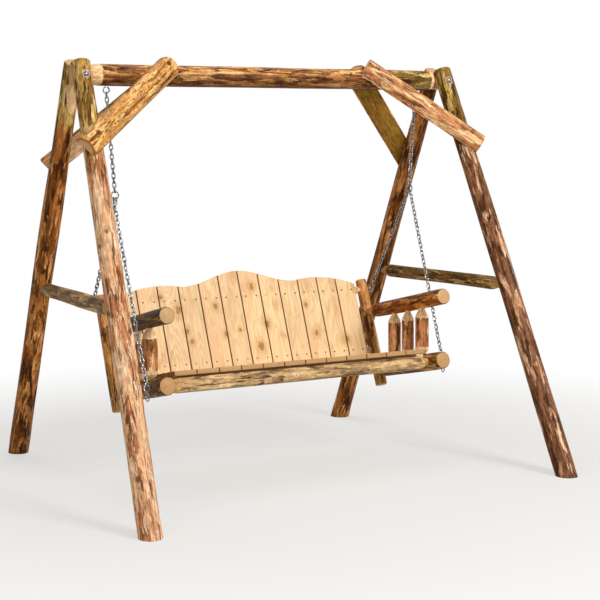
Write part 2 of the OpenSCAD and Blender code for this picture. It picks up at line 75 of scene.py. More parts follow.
class Body(Enum):
    """Moving bodies that the pieces ride on."""

    FRAME = "frame"
    HANGER = "hanger"
    BENCH = "bench"


class Slot(Enum):
    """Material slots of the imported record."""

    LOG = "log"
    PINE = "pine_board"
    ZINC = "zinc"


def hex_colour(code: str) -> tuple[float, float, float, float]:
    """Turns a hex screen colour into a linear one.

    Args:
        code: Six hex digits.

    Returns:
        Red, green, blue and alpha in linear light.
    """
    screen = np.array([int(code[i:i + 2], 16) for i in (0, 2, 4)]) / 255
    linear = np.where(screen <= 0.04045, screen / 12.92, ((screen + 0.055) / 1.055) ** 2.4)
    return (*linear.tolist(), 1.0)


def unit(vector: np.ndarray) -> np.ndarray:
    """Vector of length one in the same direction."""
    return vector / np.linalg.norm(vector)


# ---------------------------------------------------------------- sizes


class BracePair(NamedTuple):
    """Place of a left and a right brace: drops of both ends from the leg tops, reach and overhang in x."""

    drop: float
    below: float
    reach: float
    over: float


@dataclass(frozen=True)
class Layout:
    """Sizes of the swing in metres and degrees, the same as the solids have."""

    frame_h: float = 1.760
    top_spread: float = 1.780
    foot_spread_front: float = 1.960
    foot_spread_rear: float = 1.760
    stance: float = 1.700
    top_gap: float = 0.066
    leg_top_r: float = 0.040
    leg_foot_r: float = 0.046
    stretcher_h: float = 0.800
    stretcher_r: float = 0.030
    stretcher_tenon_r: float = 0.019
    beam_r: float = 0.045
    beam_drop: float = 0.048
    beam_end_r: float = 0.039
    beam_taper: float = 0.050
    tenon_t: float = 0.036
    tenon_past: float = 0.028
    brace_r: float = 0.050
    front_braces: BracePair = BracePair(0.345, 0.0, 0.480, 0.050)
    rear_braces: BracePair = BracePair(0.432, 0.019, 0.462, 0.034)
    saddle: float = 0.006
    spot_depth: float = 0.009
    washer_r: float = 0.014
    lag_bore_r: float = 0.010
    lag_head_at: float = 0.028
    lag_from_end: float = 0.035
    eye_wire: float = 0.006
    eye_r: float = 0.013
    ring_r: float = 0.016
    chain_wire: float = 0.005
    link_in: float = 0.0198
    link_w: float = 0.0085
    upper_links: int = 21
    front_links: int = 41
    rear_links: int = 29
    tail_links: int = 2
    beam_eye_x: float = 0.765
    ring_x: float = 0.735
    side_x: float = 0.675
    seat_slope: float = 12.0
    rail_len: float = 0.540
    rail_r: float = 0.0375
    post_r: float = 0.0275
    post_len: float = 0.520
    post_foot: float = 0.076
    back_lean: float = 21.0
    arm_r: float = 0.035
    arm_rise: float = 0.285
    side_tenon_r: float = 0.017
    spindle_r: float = 0.030
    spindle_tenon_r: float = 0.013
    spindle_first: float = 0.170
    spindle_pitch: float = 0.110
    front_rail_in: float = 0.084
    front_rail_r: float = 0.031
    front_tenon_r: float = 0.018
    board_count: int = 12
    board_w: float = 0.100
    board_gap: float = 0.003
    slat_t: float = 0.020
    slat_len: float = 0.480
    slat_in: float = 0.050
    cleat_in: float = 0.050
    slat_rise: float = 0.039
    back_t: float = 0.016
    back_set: float = 0.012
    back_rail_r: float = 0.023
    back_tenon_r: float = 0.013
    upper_rail_down: float = 0.051
    lower_rail_down: float = 0.345
    board_lift: float = 0.001
    crown_h: float = 0.072
    dip_h: float = 0.011
    wing_h: float = 0.021
    corner_drop: float = 0.022
    dip_x: float = 0.285
    wing_x: float = 0.395
    play: float = 0.0003
    ring_side: float = 0.006
    tenon_in: float = 0.008
    bevel: float = 0.004

    @property
    def beam_z(self) -> float:
        """Height of the beam's axis."""
        return self.frame_h - self.beam_drop

    @property
    def leg_lean(self) -> float:
        """Lean of the legs seen from the side, in radians."""
        return math.atan((self.stance - self.top_gap) / 2 / self.frame_h)

    def down(self, z: float | np.ndarray) -> float | np.ndarray:
        """Part of the way from the tops of the legs down to their feet, at height z."""
        return (self.frame_h - z) / self.frame_h

    def leg_y(self, z: float | np.ndarray) -> float | np.ndarray:
        """Distance of a rear leg's axis behind the middle, at height z."""
        return self.top_gap / 2 + (self.stance - self.top_gap) / 2 * self.down(z)

    def leg_x(self, z: float, front: bool) -> float:
        """Distance of a right leg's axis from the middle, at height z."""
        return self.top_spread / 2 + (self.spread(front) - self.top_spread) / 2 * self.down(z)

    def leg_r(self, z: float) -> float:
        """Radius of a leg at height z."""
        return self.leg_top_r + (self.leg_foot_r - self.leg_top_r) * self.down(z)

    @property
    def spot_y(self) -> float:
        """Distance of the washer seats from the middle plane."""
        return self.leg_y(self.beam_z) + self.leg_r(self.beam_z) / math.cos(self.leg_lean) - self.spot_depth

    def spread(self, front: bool) -> float:
        """Distance between the feet of the front or the rear legs."""
        return self.foot_spread_front if front else self.foot_spread_rear

    def braces(self, front: bool) -> BracePair:
        """Place of the front or the rear braces."""
        return self.front_braces if front else self.rear_braces

    def brace_lean(self, front: bool) -> float:
        """Lean of the plane that touches beam and leg.

        Args:
            front: Whether the brace is in front.

        Returns:
            The lean in radians: the slope between both axes, less what their radii differ by.
        """
        low_z = self.frame_h - self.braces(front).drop
        across, up = self.leg_y(low_z), self.beam_z - low_z
        return math.atan(across / up) - math.asin((self.beam_r - self.leg_r(low_z)) / math.hypot(across, up))

    @property
    def brace_off(self) -> float:
        """Distance of the brace planes from the beam's axis."""
        return self.beam_r - self.saddle

    def brace_point(self, front: bool, x: float, z: float) -> np.ndarray:
        """Point of a brace plane, laid in front of the middle.

        Args:
            front: Whether the brace is in front.
            x: Its x.
            z: Its height.

        Returns:
            The point.
        """
        lean = self.brace_lean(front)
        run = (z - self.beam_z - self.brace_off * math.sin(lean)) / math.cos(lean)
        return np.array([x, -self.brace_off * math.cos(lean) + run * math.sin(lean), z])

    def brace_ends(self, front: bool) -> tuple[np.ndarray, np.ndarray]:
        """Ends of a right brace's flat face, laid in front of the middle.

        Args:
            front: Whether the brace is in front.

        Returns:
            Lower and upper end.
        """
        pair = self.braces(front)
        low_z = self.frame_h - pair.drop
        low_x = self.leg_x(low_z, front) + pair.over
        return (self.brace_point(front, low_x, low_z),
                self.brace_point(front, low_x - pair.reach, self.frame_h - pair.below))

    def lag_points(self, front: bool) -> list[np.ndarray]:
        """Feet of the lag screws on a right brace's flat face, laid in front of the middle.

        Args:
            front: Whether the brace is in front.

        Returns:
            The one over the leg and the one over the beam.
        """
        low, top = self.brace_ends(front)
        on_leg = self.braces(front).over / (low[0] - top[0])
        on_beam = (self.beam_z + self.brace_off * math.sin(self.brace_lean(front)) - low[2]) / (top[2] - low[2])
        on_beam = min(on_beam, 1 - self.lag_from_end / np.linalg.norm(top - low))
        return [low + part * (top - low) for part in (on_leg, on_beam)]

    @property
    def link_pitch(self) -> float:
        """Distance from one link's middle to the next."""
        return self.link_in - self.play

    @property
    def hook(self) -> float:
        """Distance from an eye's wire to the wire of the link on it."""
        return self.eye_wire / 2 + self.play + self.chain_wire / 2

    def chain_len(self, links: int) -> float:
        """Length of a chain from wire centre to wire centre."""
        return self.link_in - 2 * (self.eye_wire / 2 + self.play) + (links - 1) * self.link_pitch

    @property
    def swing_z(self) -> float:
        """Height that the upper chains swing about: the lowest wire of the beam eyes."""
        return self.beam_z - self.beam_r - self.eye_r - self.eye_wire / 2 - MM - self.eye_r

    @property
    def ring_z(self) -> float:
        """Height of the joining rings' centres."""
        length = self.chain_len(self.upper_links)
        return self.swing_z - math.sqrt(length ** 2 - (self.beam_eye_x - self.ring_x) ** 2) - self.ring_r

    @property
    def rock_z(self) -> float:
        """Height that the bench rocks about."""
        return self.ring_z - math.sqrt((self.ring_r - self.hook) ** 2 - self.ring_side ** 2) - self.hook

    @property
    def slope(self) -> float:
        """Slope of the seat, in radians."""
        return math.radians(self.seat_slope)

    def rail_point(self, run: float) -> np.ndarray:
        """Point of a side rail's axis, as depth and height on the bench."""
        return np.array([run * math.cos(self.slope), -run * math.sin(self.slope)])

    @property
    def post_dir(self) -> np.ndarray:
        """Direction up a back post, as depth and height."""
        lean = math.radians(self.back_lean)
        return np.array([math.sin(lean), math.cos(lean)])

    @property
    def post_top(self) -> np.ndarray:
        """Top of a back post's axis, as depth and height on the bench."""
        return self.rail_point(self.rail_len) + (self.post_len - self.post_foot) * self.post_dir

    def post_point(self, down: float) -> np.ndarray:
        """Point of a back post's axis below its top."""
        return self.post_top - down * self.post_dir

    @property
    def joint_lean(self) -> float:
        """Lean of the posts from square to the rails, in radians."""
        return math.radians(self.back_lean - self.seat_slope)

    @property
    def arm_len(self) -> float:
        """Length of an arm.

        Returns:
            Distance from its front end to the post's axis.
        """
        joint, lean = self.rail_point(self.rail_len), math.radians(self.back_lean)
        across = joint[0] * math.cos(lean) - (joint[1] - self.arm_rise) * math.sin(lean)
        return across / math.cos(self.joint_lean)

    def eye_beside(self, log_r: float, place: np.ndarray) -> np.ndarray:
        """Seat eye on the right side, screwed into a log of that radius at a depth and height."""
        return np.array([self.side_x + log_r + self.eye_r + self.eye_wire / 2 + MM, *place])

    @property
    def front_eye(self) -> np.ndarray:
        """Front seat eye of the right side, on the bench."""
        return self.eye_beside(self.rail_r, self.rail_point(self.front_rail_in))

    @property
    def rear_eye(self) -> np.ndarray:
        """Rear seat eye of the right side, on the bench."""
        return self.eye_beside(self.post_r, self.post_point(self.upper_rail_down))

    def reach(self, links: int, top_x: float, eye: np.ndarray) -> float:
        """Length of a lower chain and its eye, seen from the side."""
        return math.sqrt((self.chain_len(links) + self.eye_r) ** 2 - (top_x - eye[0]) ** 2)

    @property
    def bench_at(self) -> np.ndarray:
        """Place of the bench's own origin, from where its two chains meet the ring.

        Returns:
            The origin in the frame's coordinates: two circles about the seat eyes, with the chains'
            reaches as radii, cross in the ring.
        """
        front, rear = self.front_eye, self.rear_eye
        front_reach = self.reach(self.front_links, self.ring_x + self.ring_side, front)
        rear_reach = self.reach(self.rear_links, self.ring_x - self.ring_side, rear)
        span = np.linalg.norm(rear[1:] - front[1:])
        way = (rear[1:] - front[1:]) / span
        run = (front_reach ** 2 - rear_reach ** 2 + span ** 2) / (2 * span)
        rise = math.sqrt(front_reach ** 2 - run ** 2)
        ring = front[1:] + run * way + rise * np.array([-way[1], way[0]])
        return np.array([0.0, -ring[0], self.rock_z - ring[1]])

    @property
    def board_down(self) -> float:
        """Distance from the posts' tops down to the boards' lower ends, just over the slats."""
        over_seat = self.slat_rise + self.slat_t + self.board_lift - self.back_set * math.sin(self.joint_lean)
        return self.post_len - self.post_foot - over_seat / math.cos(self.joint_lean)

    @property
    def board_pitch(self) -> float:
        """Distance from one board to the next."""
        return self.board_w + self.board_gap

    def board_x(self, index: int) -> float:
        """Middle of a board, from 0 at the left."""
        return (index - (self.board_count - 1) / 2) * self.board_pitch

    def top_edge(self, x: np.ndarray) -> np.ndarray:
        """Scalloped edge: a cosine crown, then a parabola up to each side crown and one down.

        Args:
            x: Places across the back.

        Returns:
            Height of the edge over the posts' tops at each of them.
        """
        d = np.abs(x)
        half = (self.board_count * self.board_pitch - self.board_gap) / 2
        crown = self.dip_h + (self.crown_h - self.dip_h) * (1 + np.cos(np.pi * d / self.dip_x)) / 2
        rise = self.wing_h - (self.wing_h - self.dip_h) * ((self.wing_x - d) / (self.wing_x - self.dip_x)) ** 2
        fall = self.wing_h - (self.wing_h + self.corner_drop) * ((d - self.wing_x) / (half - self.wing_x)) ** 2
        return np.where(d < self.dip_x, crown, np.where(d < self.wing_x, rise, fall))


SIZE = Layout()


# ---------------------------------------------------------------- surfaces


@dataclass
class Patch:
    """Part of a mesh: points, faces, grain coordinates and finish masks."""

    points: np.ndarray
    quads: np.ndarray
    tris: np.ndarray
    grain: np.ndarray
    cuts: np.ndarray
    flat: np.ndarray | None = None

    def bore(self, foot: np.ndarray, axis: np.ndarray, radius: float, depth: float) -> None:
        """Sinks a flat-bottomed hole: points nearer its axis than the radius drop to the depth.

        Args:
            foot: Point of the axis that the depth is measured from.
            axis: Direction out of the wood.
            radius: Radius of the hole.
            depth: Height of its bottom over the foot.
        """
        off = self.points - foot
        high = off @ axis
        inside = (np.linalg.norm(off - high[:, None] * axis, axis=1) < radius) & (high > depth)
        self.points[inside] -= (high[inside] - depth)[:, None] * axis
        self.cuts[inside, 0] = 1

    def mirrored(self) -> "Patch":
        """Left-hand copy: x changes sign and every face runs the other way round."""
        return Patch(self.points * [-1, 1, 1], self.quads[:, ::-1], self.tris[:, ::-1], self.grain, self.cuts,
                     self.flat)


def ring_quads(rows: int, cols: int) -> np.ndarray:
    """Faces of a grid that closes round its columns.

    Args:
        rows: Number of rings.
        cols: Points in a ring.

    Returns:
        Four corners a face, facing away from the axis that the rings climb.
    """
    at = np.arange(rows * cols).reshape(rows, cols)
    ahead = np.roll(at, -1, axis=1)
    return np.stack([at[:-1], ahead[:-1], ahead[1:], at[1:]], axis=-1).reshape(-1, 4)


def capped(points: np.ndarray, grain: np.ndarray, cuts: np.ndarray, ends: np.ndarray,
           end_grain: np.ndarray) -> Patch:
    """Closes a grid of rings with a fan of triangles to a middle point at each end.

    Args:
        points: Points by ring and by place round it.
        grain: Their grain coordinates.
        cuts: Their finish masks.
        ends: Middle points of the two ends.
        end_grain: Grain coordinates of the middle points.

    Returns:
        Closed surface.
    """
    rows, cols = points.shape[:2]
    first, last = np.arange(cols), (rows - 1) * cols + np.arange(cols)
    middle = np.full(cols, rows * cols)
    tris = np.concatenate([np.stack([middle, np.roll(first, -1), first], axis=1),
                           np.stack([middle + 1, last, np.roll(last, -1)], axis=1)])
    layers = [np.concatenate([grid.reshape(-1, 3), tips])
              for grid, tips in ((points, ends), (grain, end_grain), (cuts, [[1, 1, 0], [1, 1, 0]]))]
    return Patch(layers[0], ring_quads(rows, cols), tris, *layers[1:])


def axes_along(start: np.ndarray, end: np.ndarray) -> tuple[np.ndarray, np.ndarray, np.ndarray]:
    """Three unit vectors of a log: two across it and one along it.

    Args:
        start: First end of the axis.
        end: Other end of the axis.

    Returns:
        Across, across and along, right-handed.
    """
    along = unit(end - start)
    aside = unit(np.cross([0.0, 1.0, 0.0] if abs(along[1]) < 0.9 else [0.0, 0.0, 1.0], along))
    return aside, np.cross(along, aside), along


@dataclass(frozen=True)
class Knot:
    """Knot on a log: distance along it, angle round it, radius and height."""

    at: float
    turn: float
    size: float = 0.014
    proud: float = 0.003


@dataclass(frozen=True)
class LogShape:
    """Log between two points, with its outline and the unevenness of the tree.

    Attributes:
        start: First end of the axis.
        end: Other end of the axis.
        outline: Distance along the log and radius, from one end face to the other.
        peeled: Distance along the log and how far it is peeled there, from 0 to 1.
        seed: Seed of its unevenness.
        swell: Height of its long swellings and of the flats left by the drawknife.
        sway: How far its middle leaves the straight line.
        knots: Knots that stand proud.
        floor: Whether the first end is cut level with the ground.
        fine: Stretches with closer rings, as start, end and spacing.
        calm: Length near a cut foot that has no swellings.
        fade: Length over which the swellings grow from either end.
    """

    start: np.ndarray
    end: np.ndarray
    outline: tuple[tuple[float, float], ...]
    peeled: tuple[tuple[float, float], ...]
    seed: int
    swell: float = 0.0012
    sway: float = 0.0015
    knots: tuple[Knot, ...] = ()
    floor: bool = False
    fine: tuple[tuple[float, float, float], ...] = ()
    calm: float = 0.085
    fade: float = 0.05

    def patch(self, step: float = 0.008, cols: int = 44) -> Patch:
        """Works out the surface.

        The radius is the outline's, plus a sum of sines of the angle and the distance along the
        log, plus a Gauss bump for each knot. The axis leaves its line by a half sine.

        Args:
            step: Distance between rings.
            cols: Points in a ring.

        Returns:
            Closed surface with flat ends.
        """
        rng = np.random.default_rng(self.seed)
        across, aside, along = axes_along(self.start, self.end)
        length = float(np.linalg.norm(self.end - self.start))
        line = np.array(self.outline)
        close = [np.arange(*stretch) for stretch in self.fine]
        spread = np.arange(line[0, 0], line[-1, 0], step)
        runs = np.unique(np.round(np.concatenate([line[:, 0], spread, *close]), 5))
        turns = np.linspace(0, 2 * np.pi, cols, endpoint=False)
        s, t = np.meshgrid(runs, turns, indexing="ij")
        radius = np.interp(s, line[:, 0], line[:, 1])
        first = runs[0] + (self.calm if self.floor else 0.0)
        even = np.minimum(np.clip((s - first) / self.fade, 0, 1), np.clip((runs[-1] - s) / self.fade, 0, 1))
        for lobes in (2, 3, 4, 6, 9):
            for _ in range(2):
                pull, lead = rng.uniform(-9, 9), rng.uniform(0, 2 * np.pi)
                height = self.swell * rng.uniform(0.3, 0.8) / math.sqrt(lobes / 2)
                radius += even * height * np.sin(lobes * t + pull * s + lead)
        marks = np.zeros_like(s)
        for knot in self.knots:
            turn = (t - knot.turn + np.pi) % (2 * np.pi) - np.pi
            away = np.hypot((s - knot.at) / 1.3, turn * radius)
            radius += knot.proud * np.exp(-(away / knot.size) ** 2)
            marks = np.maximum(marks, np.exp(-(away / knot.size) ** 2 * 0.7))
        bend = self.sway * np.sin(np.pi * np.clip(s / length, 0, 1))
        lean = rng.uniform(0, 2 * np.pi)
        x = radius * np.cos(t) + bend * math.cos(lean)
        y = radius * np.sin(t) + bend * math.sin(lean)
        points = self.start + x[..., None] * across + y[..., None] * aside + s[..., None] * along
        if self.floor:
            below = np.minimum(points[..., 2], 0) / along[2]
            points = points - below[..., None] * along
            s = s - below
        cut = np.zeros_like(s)
        cut[[0, -1]] = 1
        peel = np.interp(s, *np.array(self.peeled).T)
        return capped(points, np.stack([x, y, s], axis=-1), np.stack([peel, cut, marks], axis=-1),
                      points[[0, -1]].mean(axis=1), np.array([[0, 0, runs[0]], [0, 0, runs[-1]]]))


def pencil(tenon: float, cone: float, tenon_r: float, r: float, steps: int = 6) -> list[tuple[float, float]]:
    """Outline of a tenon and the peeled cone behind it, rounded like a pencil's.

    Args:
        tenon: Length of the tenon.
        cone: Length of the cone.
        tenon_r: Radius of the tenon.
        r: Radius of the log.
        steps: Points on the cone.

    Returns:
        Distance from the end and radius; the cone is the sine of its length.
    """
    part = np.linspace(0, 1, steps + 1)
    radii = tenon_r + (r - tenon_r) * (0.5 * part + 0.5 * np.sin(part * np.pi / 2))
    return [(0.0, tenon_r)] + list(zip((tenon + cone * part).tolist(), radii.tolist()))


def far_pencil(length: float, *sizes: float) -> list[tuple[float, float]]:
    """Outline of a tenon and cone at the far end of a log of that length."""
    return [(length - run, radius) for run, radius in pencil(*sizes)][::-1]


def tenoned(start: np.ndarray, end: np.ndarray, r: float, tenon: tuple[float, float],
            cone: tuple[float, float], tenon_r: float, past: tuple[float, float] = (1.0, 1.0),
            **rest: object) -> LogShape:
    """Log with a tenon and a peeled cone at each end.

    Args:
        start: End of the first tenon.
        end: End of the other tenon.
        r: Radius of the log.
        tenon: Lengths of the tenons.
        cone: Lengths of the cones.
        tenon_r: Radius of the tenons.
        past: How far the peeling runs at each end, as a part of the cone.
        **rest: Further fields of the log.

    Returns:
        The log.
    """
    soft = 0.006  # half the length over which the peeling ends
    length = float(np.linalg.norm(end - start))
    outline = pencil(tenon[0], cone[0], tenon_r, r) + far_pencil(length, tenon[1], cone[1], tenon_r, r)
    low, high = tenon[0] + cone[0] * past[0], length - tenon[1] - cone[1] * past[1]
    peeled = ((0.0, 1.0), (low - soft, 1.0), (low + soft, 0.0), (high - soft, 0.0), (high + soft, 1.0),
              (length, 1.0))
    return LogShape(start, end, tuple(outline), peeled, **rest)


def half_log(low: np.ndarray, top: np.ndarray, out: np.ndarray, r: float, seed: int,
             bores: tuple[float, ...] = (), dome: float = 0.0) -> Patch:
    """Half log: a half circle with its chord, carried along a line.

    Args:
        low: Middle of the flat face at the lower end.
        top: Middle of the flat face at the upper end.
        out: Direction that the round side faces.
        r: Radius of the log.
        seed: Seed of its unevenness.
        bores: Distances along it that get closer rings, for holes.
        dome: Length over which its upper end is rounded off.

    Returns:
        Closed surface; its radius has a sum of sines of the angle and the distance along it, and falls
        as a quarter ellipse over the dome.
    """
    edge, swell, steps = 0.003, 0.0012, 97
    rng = np.random.default_rng(seed)
    along = unit(top - low)
    side = np.cross(out, along)
    length = float(np.linalg.norm(top - low))
    close = [np.arange(at - 0.013, at + 0.013, 0.0012) for at in bores]
    tip = length - dome * np.cos(np.linspace(0, np.pi / 2, 9)) if dome else np.zeros(0)
    spread = np.arange(edge, length - edge, 0.008)
    runs = np.unique(np.concatenate([[0, length - edge, length], spread, *close, tip]))
    chord = np.linspace(-1, 1, 14)[1:-1]
    s, t = np.meshgrid(runs, np.linspace(0, np.pi, steps), indexing="ij")
    radius = np.full_like(s, r)
    for lobes in (2, 3, 5, 8):
        wave = np.sin(lobes * t + rng.uniform(-8, 8) * s + rng.uniform(0, 6.28))
        radius += swell / math.sqrt(lobes / 2) * wave * np.sin(t) ** 0.5
    radius[[0, -1]] -= edge
    if dome:
        radius *= 0.35 + 0.65 * np.sqrt(np.clip(1 - np.clip((s - length + dome) / dome, 0, 1) ** 2, 0, 1))
    # the outline runs from one edge over the crown to the other, then back across the flat
    flat_x = chord[None, :] * radius[:, :1]
    x = np.concatenate([radius * np.cos(t), flat_x], axis=1)
    y = np.concatenate([radius * np.sin(t), np.zeros_like(flat_x)], axis=1)
    y[:, [0, steps - 1]] = 0.0012
    s = np.repeat(runs[:, None], x.shape[1], axis=1)
    points = low + x[..., None] * side + y[..., None] * out + s[..., None] * along
    sawn, cut = np.zeros_like(s), np.zeros_like(s)
    sawn[:, steps:] = 1
    cut[[0, -1]] = 1
    rise = 0.4 * r  # height of an end's middle point over the flat
    return capped(points, np.stack([x, y, s], axis=-1), np.stack([sawn, cut, np.zeros_like(s)], axis=-1),
                  np.array([low, top]) + rise * out, np.array([[0, rise, 0], [0, rise, length]]))


def plank(width: float, thick: float, low: np.ndarray, high: np.ndarray, xs: np.ndarray,
          ease: float = 0.0025, rows: int = 24) -> tuple[np.ndarray, np.ndarray]:
    """Board with eased edges: a rounded rectangle carried from one end edge to the other.

    Args:
        width: Width of the board, along x.
        thick: Thickness, along y.
        low: Height of the lower end at each of xs.
        high: Height of the upper end at each of xs.
        xs: Places across the board, from -width / 2 to width / 2.
        ease: Radius of the eased edges.
        rows: Rings along the board.

    Returns:
        Points and quads, closed at both ends.
    """
    turn = np.linspace(np.pi, np.pi / 2, 5)
    left_x, left_y = -width / 2 + ease + ease * np.cos(turn), thick / 2 - ease + ease * np.sin(turn)
    inner = xs[(xs > -width / 2 + 1.5 * ease) & (xs < width / 2 - 1.5 * ease)]
    half_x = np.concatenate([left_x, inner, -left_x[::-1]])
    half_y = np.concatenate([left_y, np.full(len(inner), thick / 2), left_y[::-1]])
    x = np.concatenate([half_x, half_x[::-1]])
    y = np.concatenate([-half_y, half_y[::-1]])
    low_at, high_at = np.interp(x, xs, low), np.interp(x, xs, high)
    curl = np.linspace(0, np.pi / 2, 4)
    ends, inset = ease * (1 - np.cos(curl)), ease * (1 - np.sin(curl))
    middle = np.linspace(0, 1, rows)[1:-1]
    run = [low_at + d for d in ends]
    run += [low_at + ease + (high_at - low_at - 2 * ease) * m for m in middle]
    run += [high_at - d for d in ends[::-1]]
    pz = np.array(run)
    shrink = np.concatenate([inset, np.zeros(len(middle)), inset[::-1]])[:, None]
    points = np.stack([x * (1 - 2 * shrink / width), y * (1 - 2 * shrink / thick), pz], axis=-1)
    count, cols = pz.shape
    at = np.arange(cols // 2 - 1)
    low_cap = np.stack([at, cols - 1 - at, cols - 2 - at, at + 1], axis=1)
    high_cap = (count - 1) * cols + low_cap[:, ::-1]
    return points.reshape(-1, 3), np.concatenate([ring_quads(count, cols), low_cap, high_cap])


def link_patch(rows: int = 28, cols: int = 10) -> tuple[np.ndarray, np.ndarray]:
    """One welded link: a circle carried round two straights and two half circles.

    Args:
        rows: Points along the wire.
        cols: Points round the wire.

    Returns:
        Points and quads; the long axis is z, the link lies in the yz plane.
    """
    bend = SIZE.link_w / 2 + SIZE.chain_wire / 2
    half = SIZE.link_in / 2 - SIZE.link_w / 2
    quarter = rows // 4
    arc = np.linspace(0, np.pi, 2 * quarter, endpoint=False)
    straight = np.linspace(0, 1, rows // 2 - quarter, endpoint=False)
    top = np.stack([bend * np.cos(arc), half + bend * np.sin(arc)], axis=1)
    left = np.stack([np.full(len(straight), -bend), half - 2 * half * straight], axis=1)
    line = np.concatenate([top, left, -top, -left])
    way = np.roll(line, -1, axis=0) - np.roll(line, 1, axis=0)
    way /= np.linalg.norm(way, axis=1)[:, None]
    out = np.stack([way[:, 1], -way[:, 0]], axis=1)
    weld = 0.0006 * np.exp(-((line[:, 0] + bend) / 0.002) ** 2 - (line[:, 1] / 0.0022) ** 2)
    wire = SIZE.chain_wire / 2 + weld[:, None]
    turn = np.linspace(0, 2 * np.pi, cols, endpoint=False)
    x = wire * np.sin(turn)
    y, z = (line[:, [axis]] + wire * np.cos(turn) * out[:, [axis]] for axis in (0, 1))
    points = np.stack([x, y, z], axis=-1).reshape(-1, 3)
    at = np.arange(len(line) * cols).reshape(len(line), cols)
    ahead, aside = np.roll(at, -1, axis=0), np.roll(at, -1, axis=1)
    both = np.roll(ahead, -1, axis=1)
    return points, np.stack([at, ahead, both, aside], axis=-1).reshape(-1, 4)


def turned(points: np.ndarray, matrix: np.ndarray, shift: np.ndarray) -> np.ndarray:
    """Turns points by a matrix and moves them."""
    return points @ matrix.T + shift


def turn_x(degrees: float) -> np.ndarray:
    """Matrix of a turn about x."""
    c, s = math.cos(math.radians(degrees)), math.sin(math.radians(degrees))
    return np.array([[1, 0, 0], [0, c, -s], [0, s, c]])


def plain_patch(points: np.ndarray, quads: np.ndarray, grain: np.ndarray | None = None,
                cuts: np.ndarray | None = None, flat: np.ndarray | None = None) -> Patch:
    """Patch of quads alone, with its grain coordinates if it has any."""
    none = np.zeros_like(points)
    return Patch(points, quads, np.zeros((0, 3), int), none if grain is None else grain,
                 none if cuts is None else cuts, flat)


def end_cut(z: np.ndarray) -> np.ndarray:
    """Marks a board's sawn ends with 1, where its length starts and stops."""
    return ((z < z.min() + 0.0015) | (z > z.max() - 0.0015)).astype(float)


def screw_head() -> tuple[np.ndarray, np.ndarray]:
    """Pan head with a driver's recess: one profile carried round twelve steps.

    Returns:
        Points and quads; its foot is the origin and it faces +Z.
    """
    profile = np.array([[0.0002, -0.0004], [0.0042, -0.0004], [0.0042, 0.0003], [0.0036, 0.0010],
                        [0.0016, 0.0013], [0.0011, 0.0004], [0.0002, 0.0004]])
    round_it = np.linspace(0, 2 * np.pi, 12, endpoint=False)
    across, high = profile[:, :1], profile[:, 1:]
    head = np.stack([across * np.cos(round_it), across * np.sin(round_it), high + 0 * round_it], axis=-1)
    return head.reshape(-1, 3), ring_quads(len(profile), len(round_it))


def into_scene(name: str, data: bpy.types.ID) -> bpy.types.Object:
    """Makes an object and links it to the scene.

    Args:
        name: Its name.
        data: Its mesh, camera or lamp.

    Returns:
        The object.
    """
    thing = bpy.data.objects.new(name, data)
    bpy.context.scene.collection.objects.link(thing)
    return thing


def add_piece(name: str, patches: list[Patch], material: bpy.types.Material, body: Body,
              stands_for: tuple[str, ...] = (), sharp: float = 40.0) -> None:
    """Makes one object of patches and hands it to the frame.

    Args:
        name: Name of the piece.
        patches: Surfaces that it is made of.
        material: Its finish.
        body: Body that it rides on.
        stands_for: Nodes of the frame that it replaces.
        sharp: Angle over which an edge stays sharp, in degrees.
    """
    shift = np.cumsum([0] + [len(p.points) for p in patches[:-1]])
    points = np.concatenate([p.points for p in patches])
    faces = [row for p, d in zip(patches, shift) for row in (p.quads + d).tolist() + (p.tris + d).tolist()]
    mesh = bpy.data.meshes.new(name)
    mesh.from_pydata(points.tolist(), [], faces)
    flats = [p.grain if p.flat is None else p.flat for p in patches]
    for key, rows in (("grain_at", [p.grain for p in patches]), ("cuts", [p.cuts for p in patches]),
                      ("board_at", flats)):
        layer = mesh.attributes.new(key, "FLOAT_VECTOR", "POINT")
        layer.data.foreach_set("vector", np.concatenate(rows).astype(np.float32).ravel())
    mesh.polygons.foreach_set("use_smooth", np.ones(len(mesh.polygons), bool))
    mesh.update()
    mesh.set_sharp_from_angle(angle=math.radians(sharp))
    piece = into_scene(name, mesh)
    piece.data.materials.append(material)
    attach(piece, body.value)
    if stands_for:
        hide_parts(*stands_for)
    LOG.info("%s: %d faces on %s", name, len(faces), body.value)


def dress(node: str, material: bpy.types.Material) -> None:
    """Gives a solid of the frame its finish.

    Args:
        node: Name of its node.
        material: The finish.
    """
    thing = frame["nodes"][node]
    thing.data.materials.clear()
    thing.data.materials.append(material)
    LOG.info("%s: dressed in %s", node, material.name)


# ---------------------------------------------------------------- finishes


class Signal:
    """Output socket of a node tree, on which sums, products and the like add math nodes."""

    def __init__(self, wiring: "Wiring", socket: bpy.types.NodeSocket) -> None:
        """Keeps the socket and the wiring of its tree."""
        self.wiring, self.socket = wiring, socket

    def __add__(self, other: "Feed") -> "Signal":
        """Sum."""
        return self.wiring.math("ADD", self, other)

    __radd__ = __add__

    def __sub__(self, other: "Feed") -> "Signal":
        """Difference."""
        return self.wiring.math("SUBTRACT", self, other)

    def __mul__(self, other: "Feed") -> "Signal":
        """Product."""
        return self.wiring.math("MULTIPLY", self, other)

    def __truediv__(self, other: "Feed") -> "Signal":
        """Quotient."""
        return self.wiring.math("DIVIDE", self, other)

    def __rtruediv__(self, other: "Feed") -> "Signal":
        """Quotient of a plain number by this."""
        return self.wiring.math("DIVIDE", other, self)

    def __pow__(self, power: float) -> "Signal":
        """Power."""
        return self.wiring.math("POWER", self, power)

    def __abs__(self) -> "Signal":
        """Size without the sign."""
        return self.wiring.math("ABSOLUTE", self)


Feed = Signal | bpy.types.NodeSocket | float | tuple


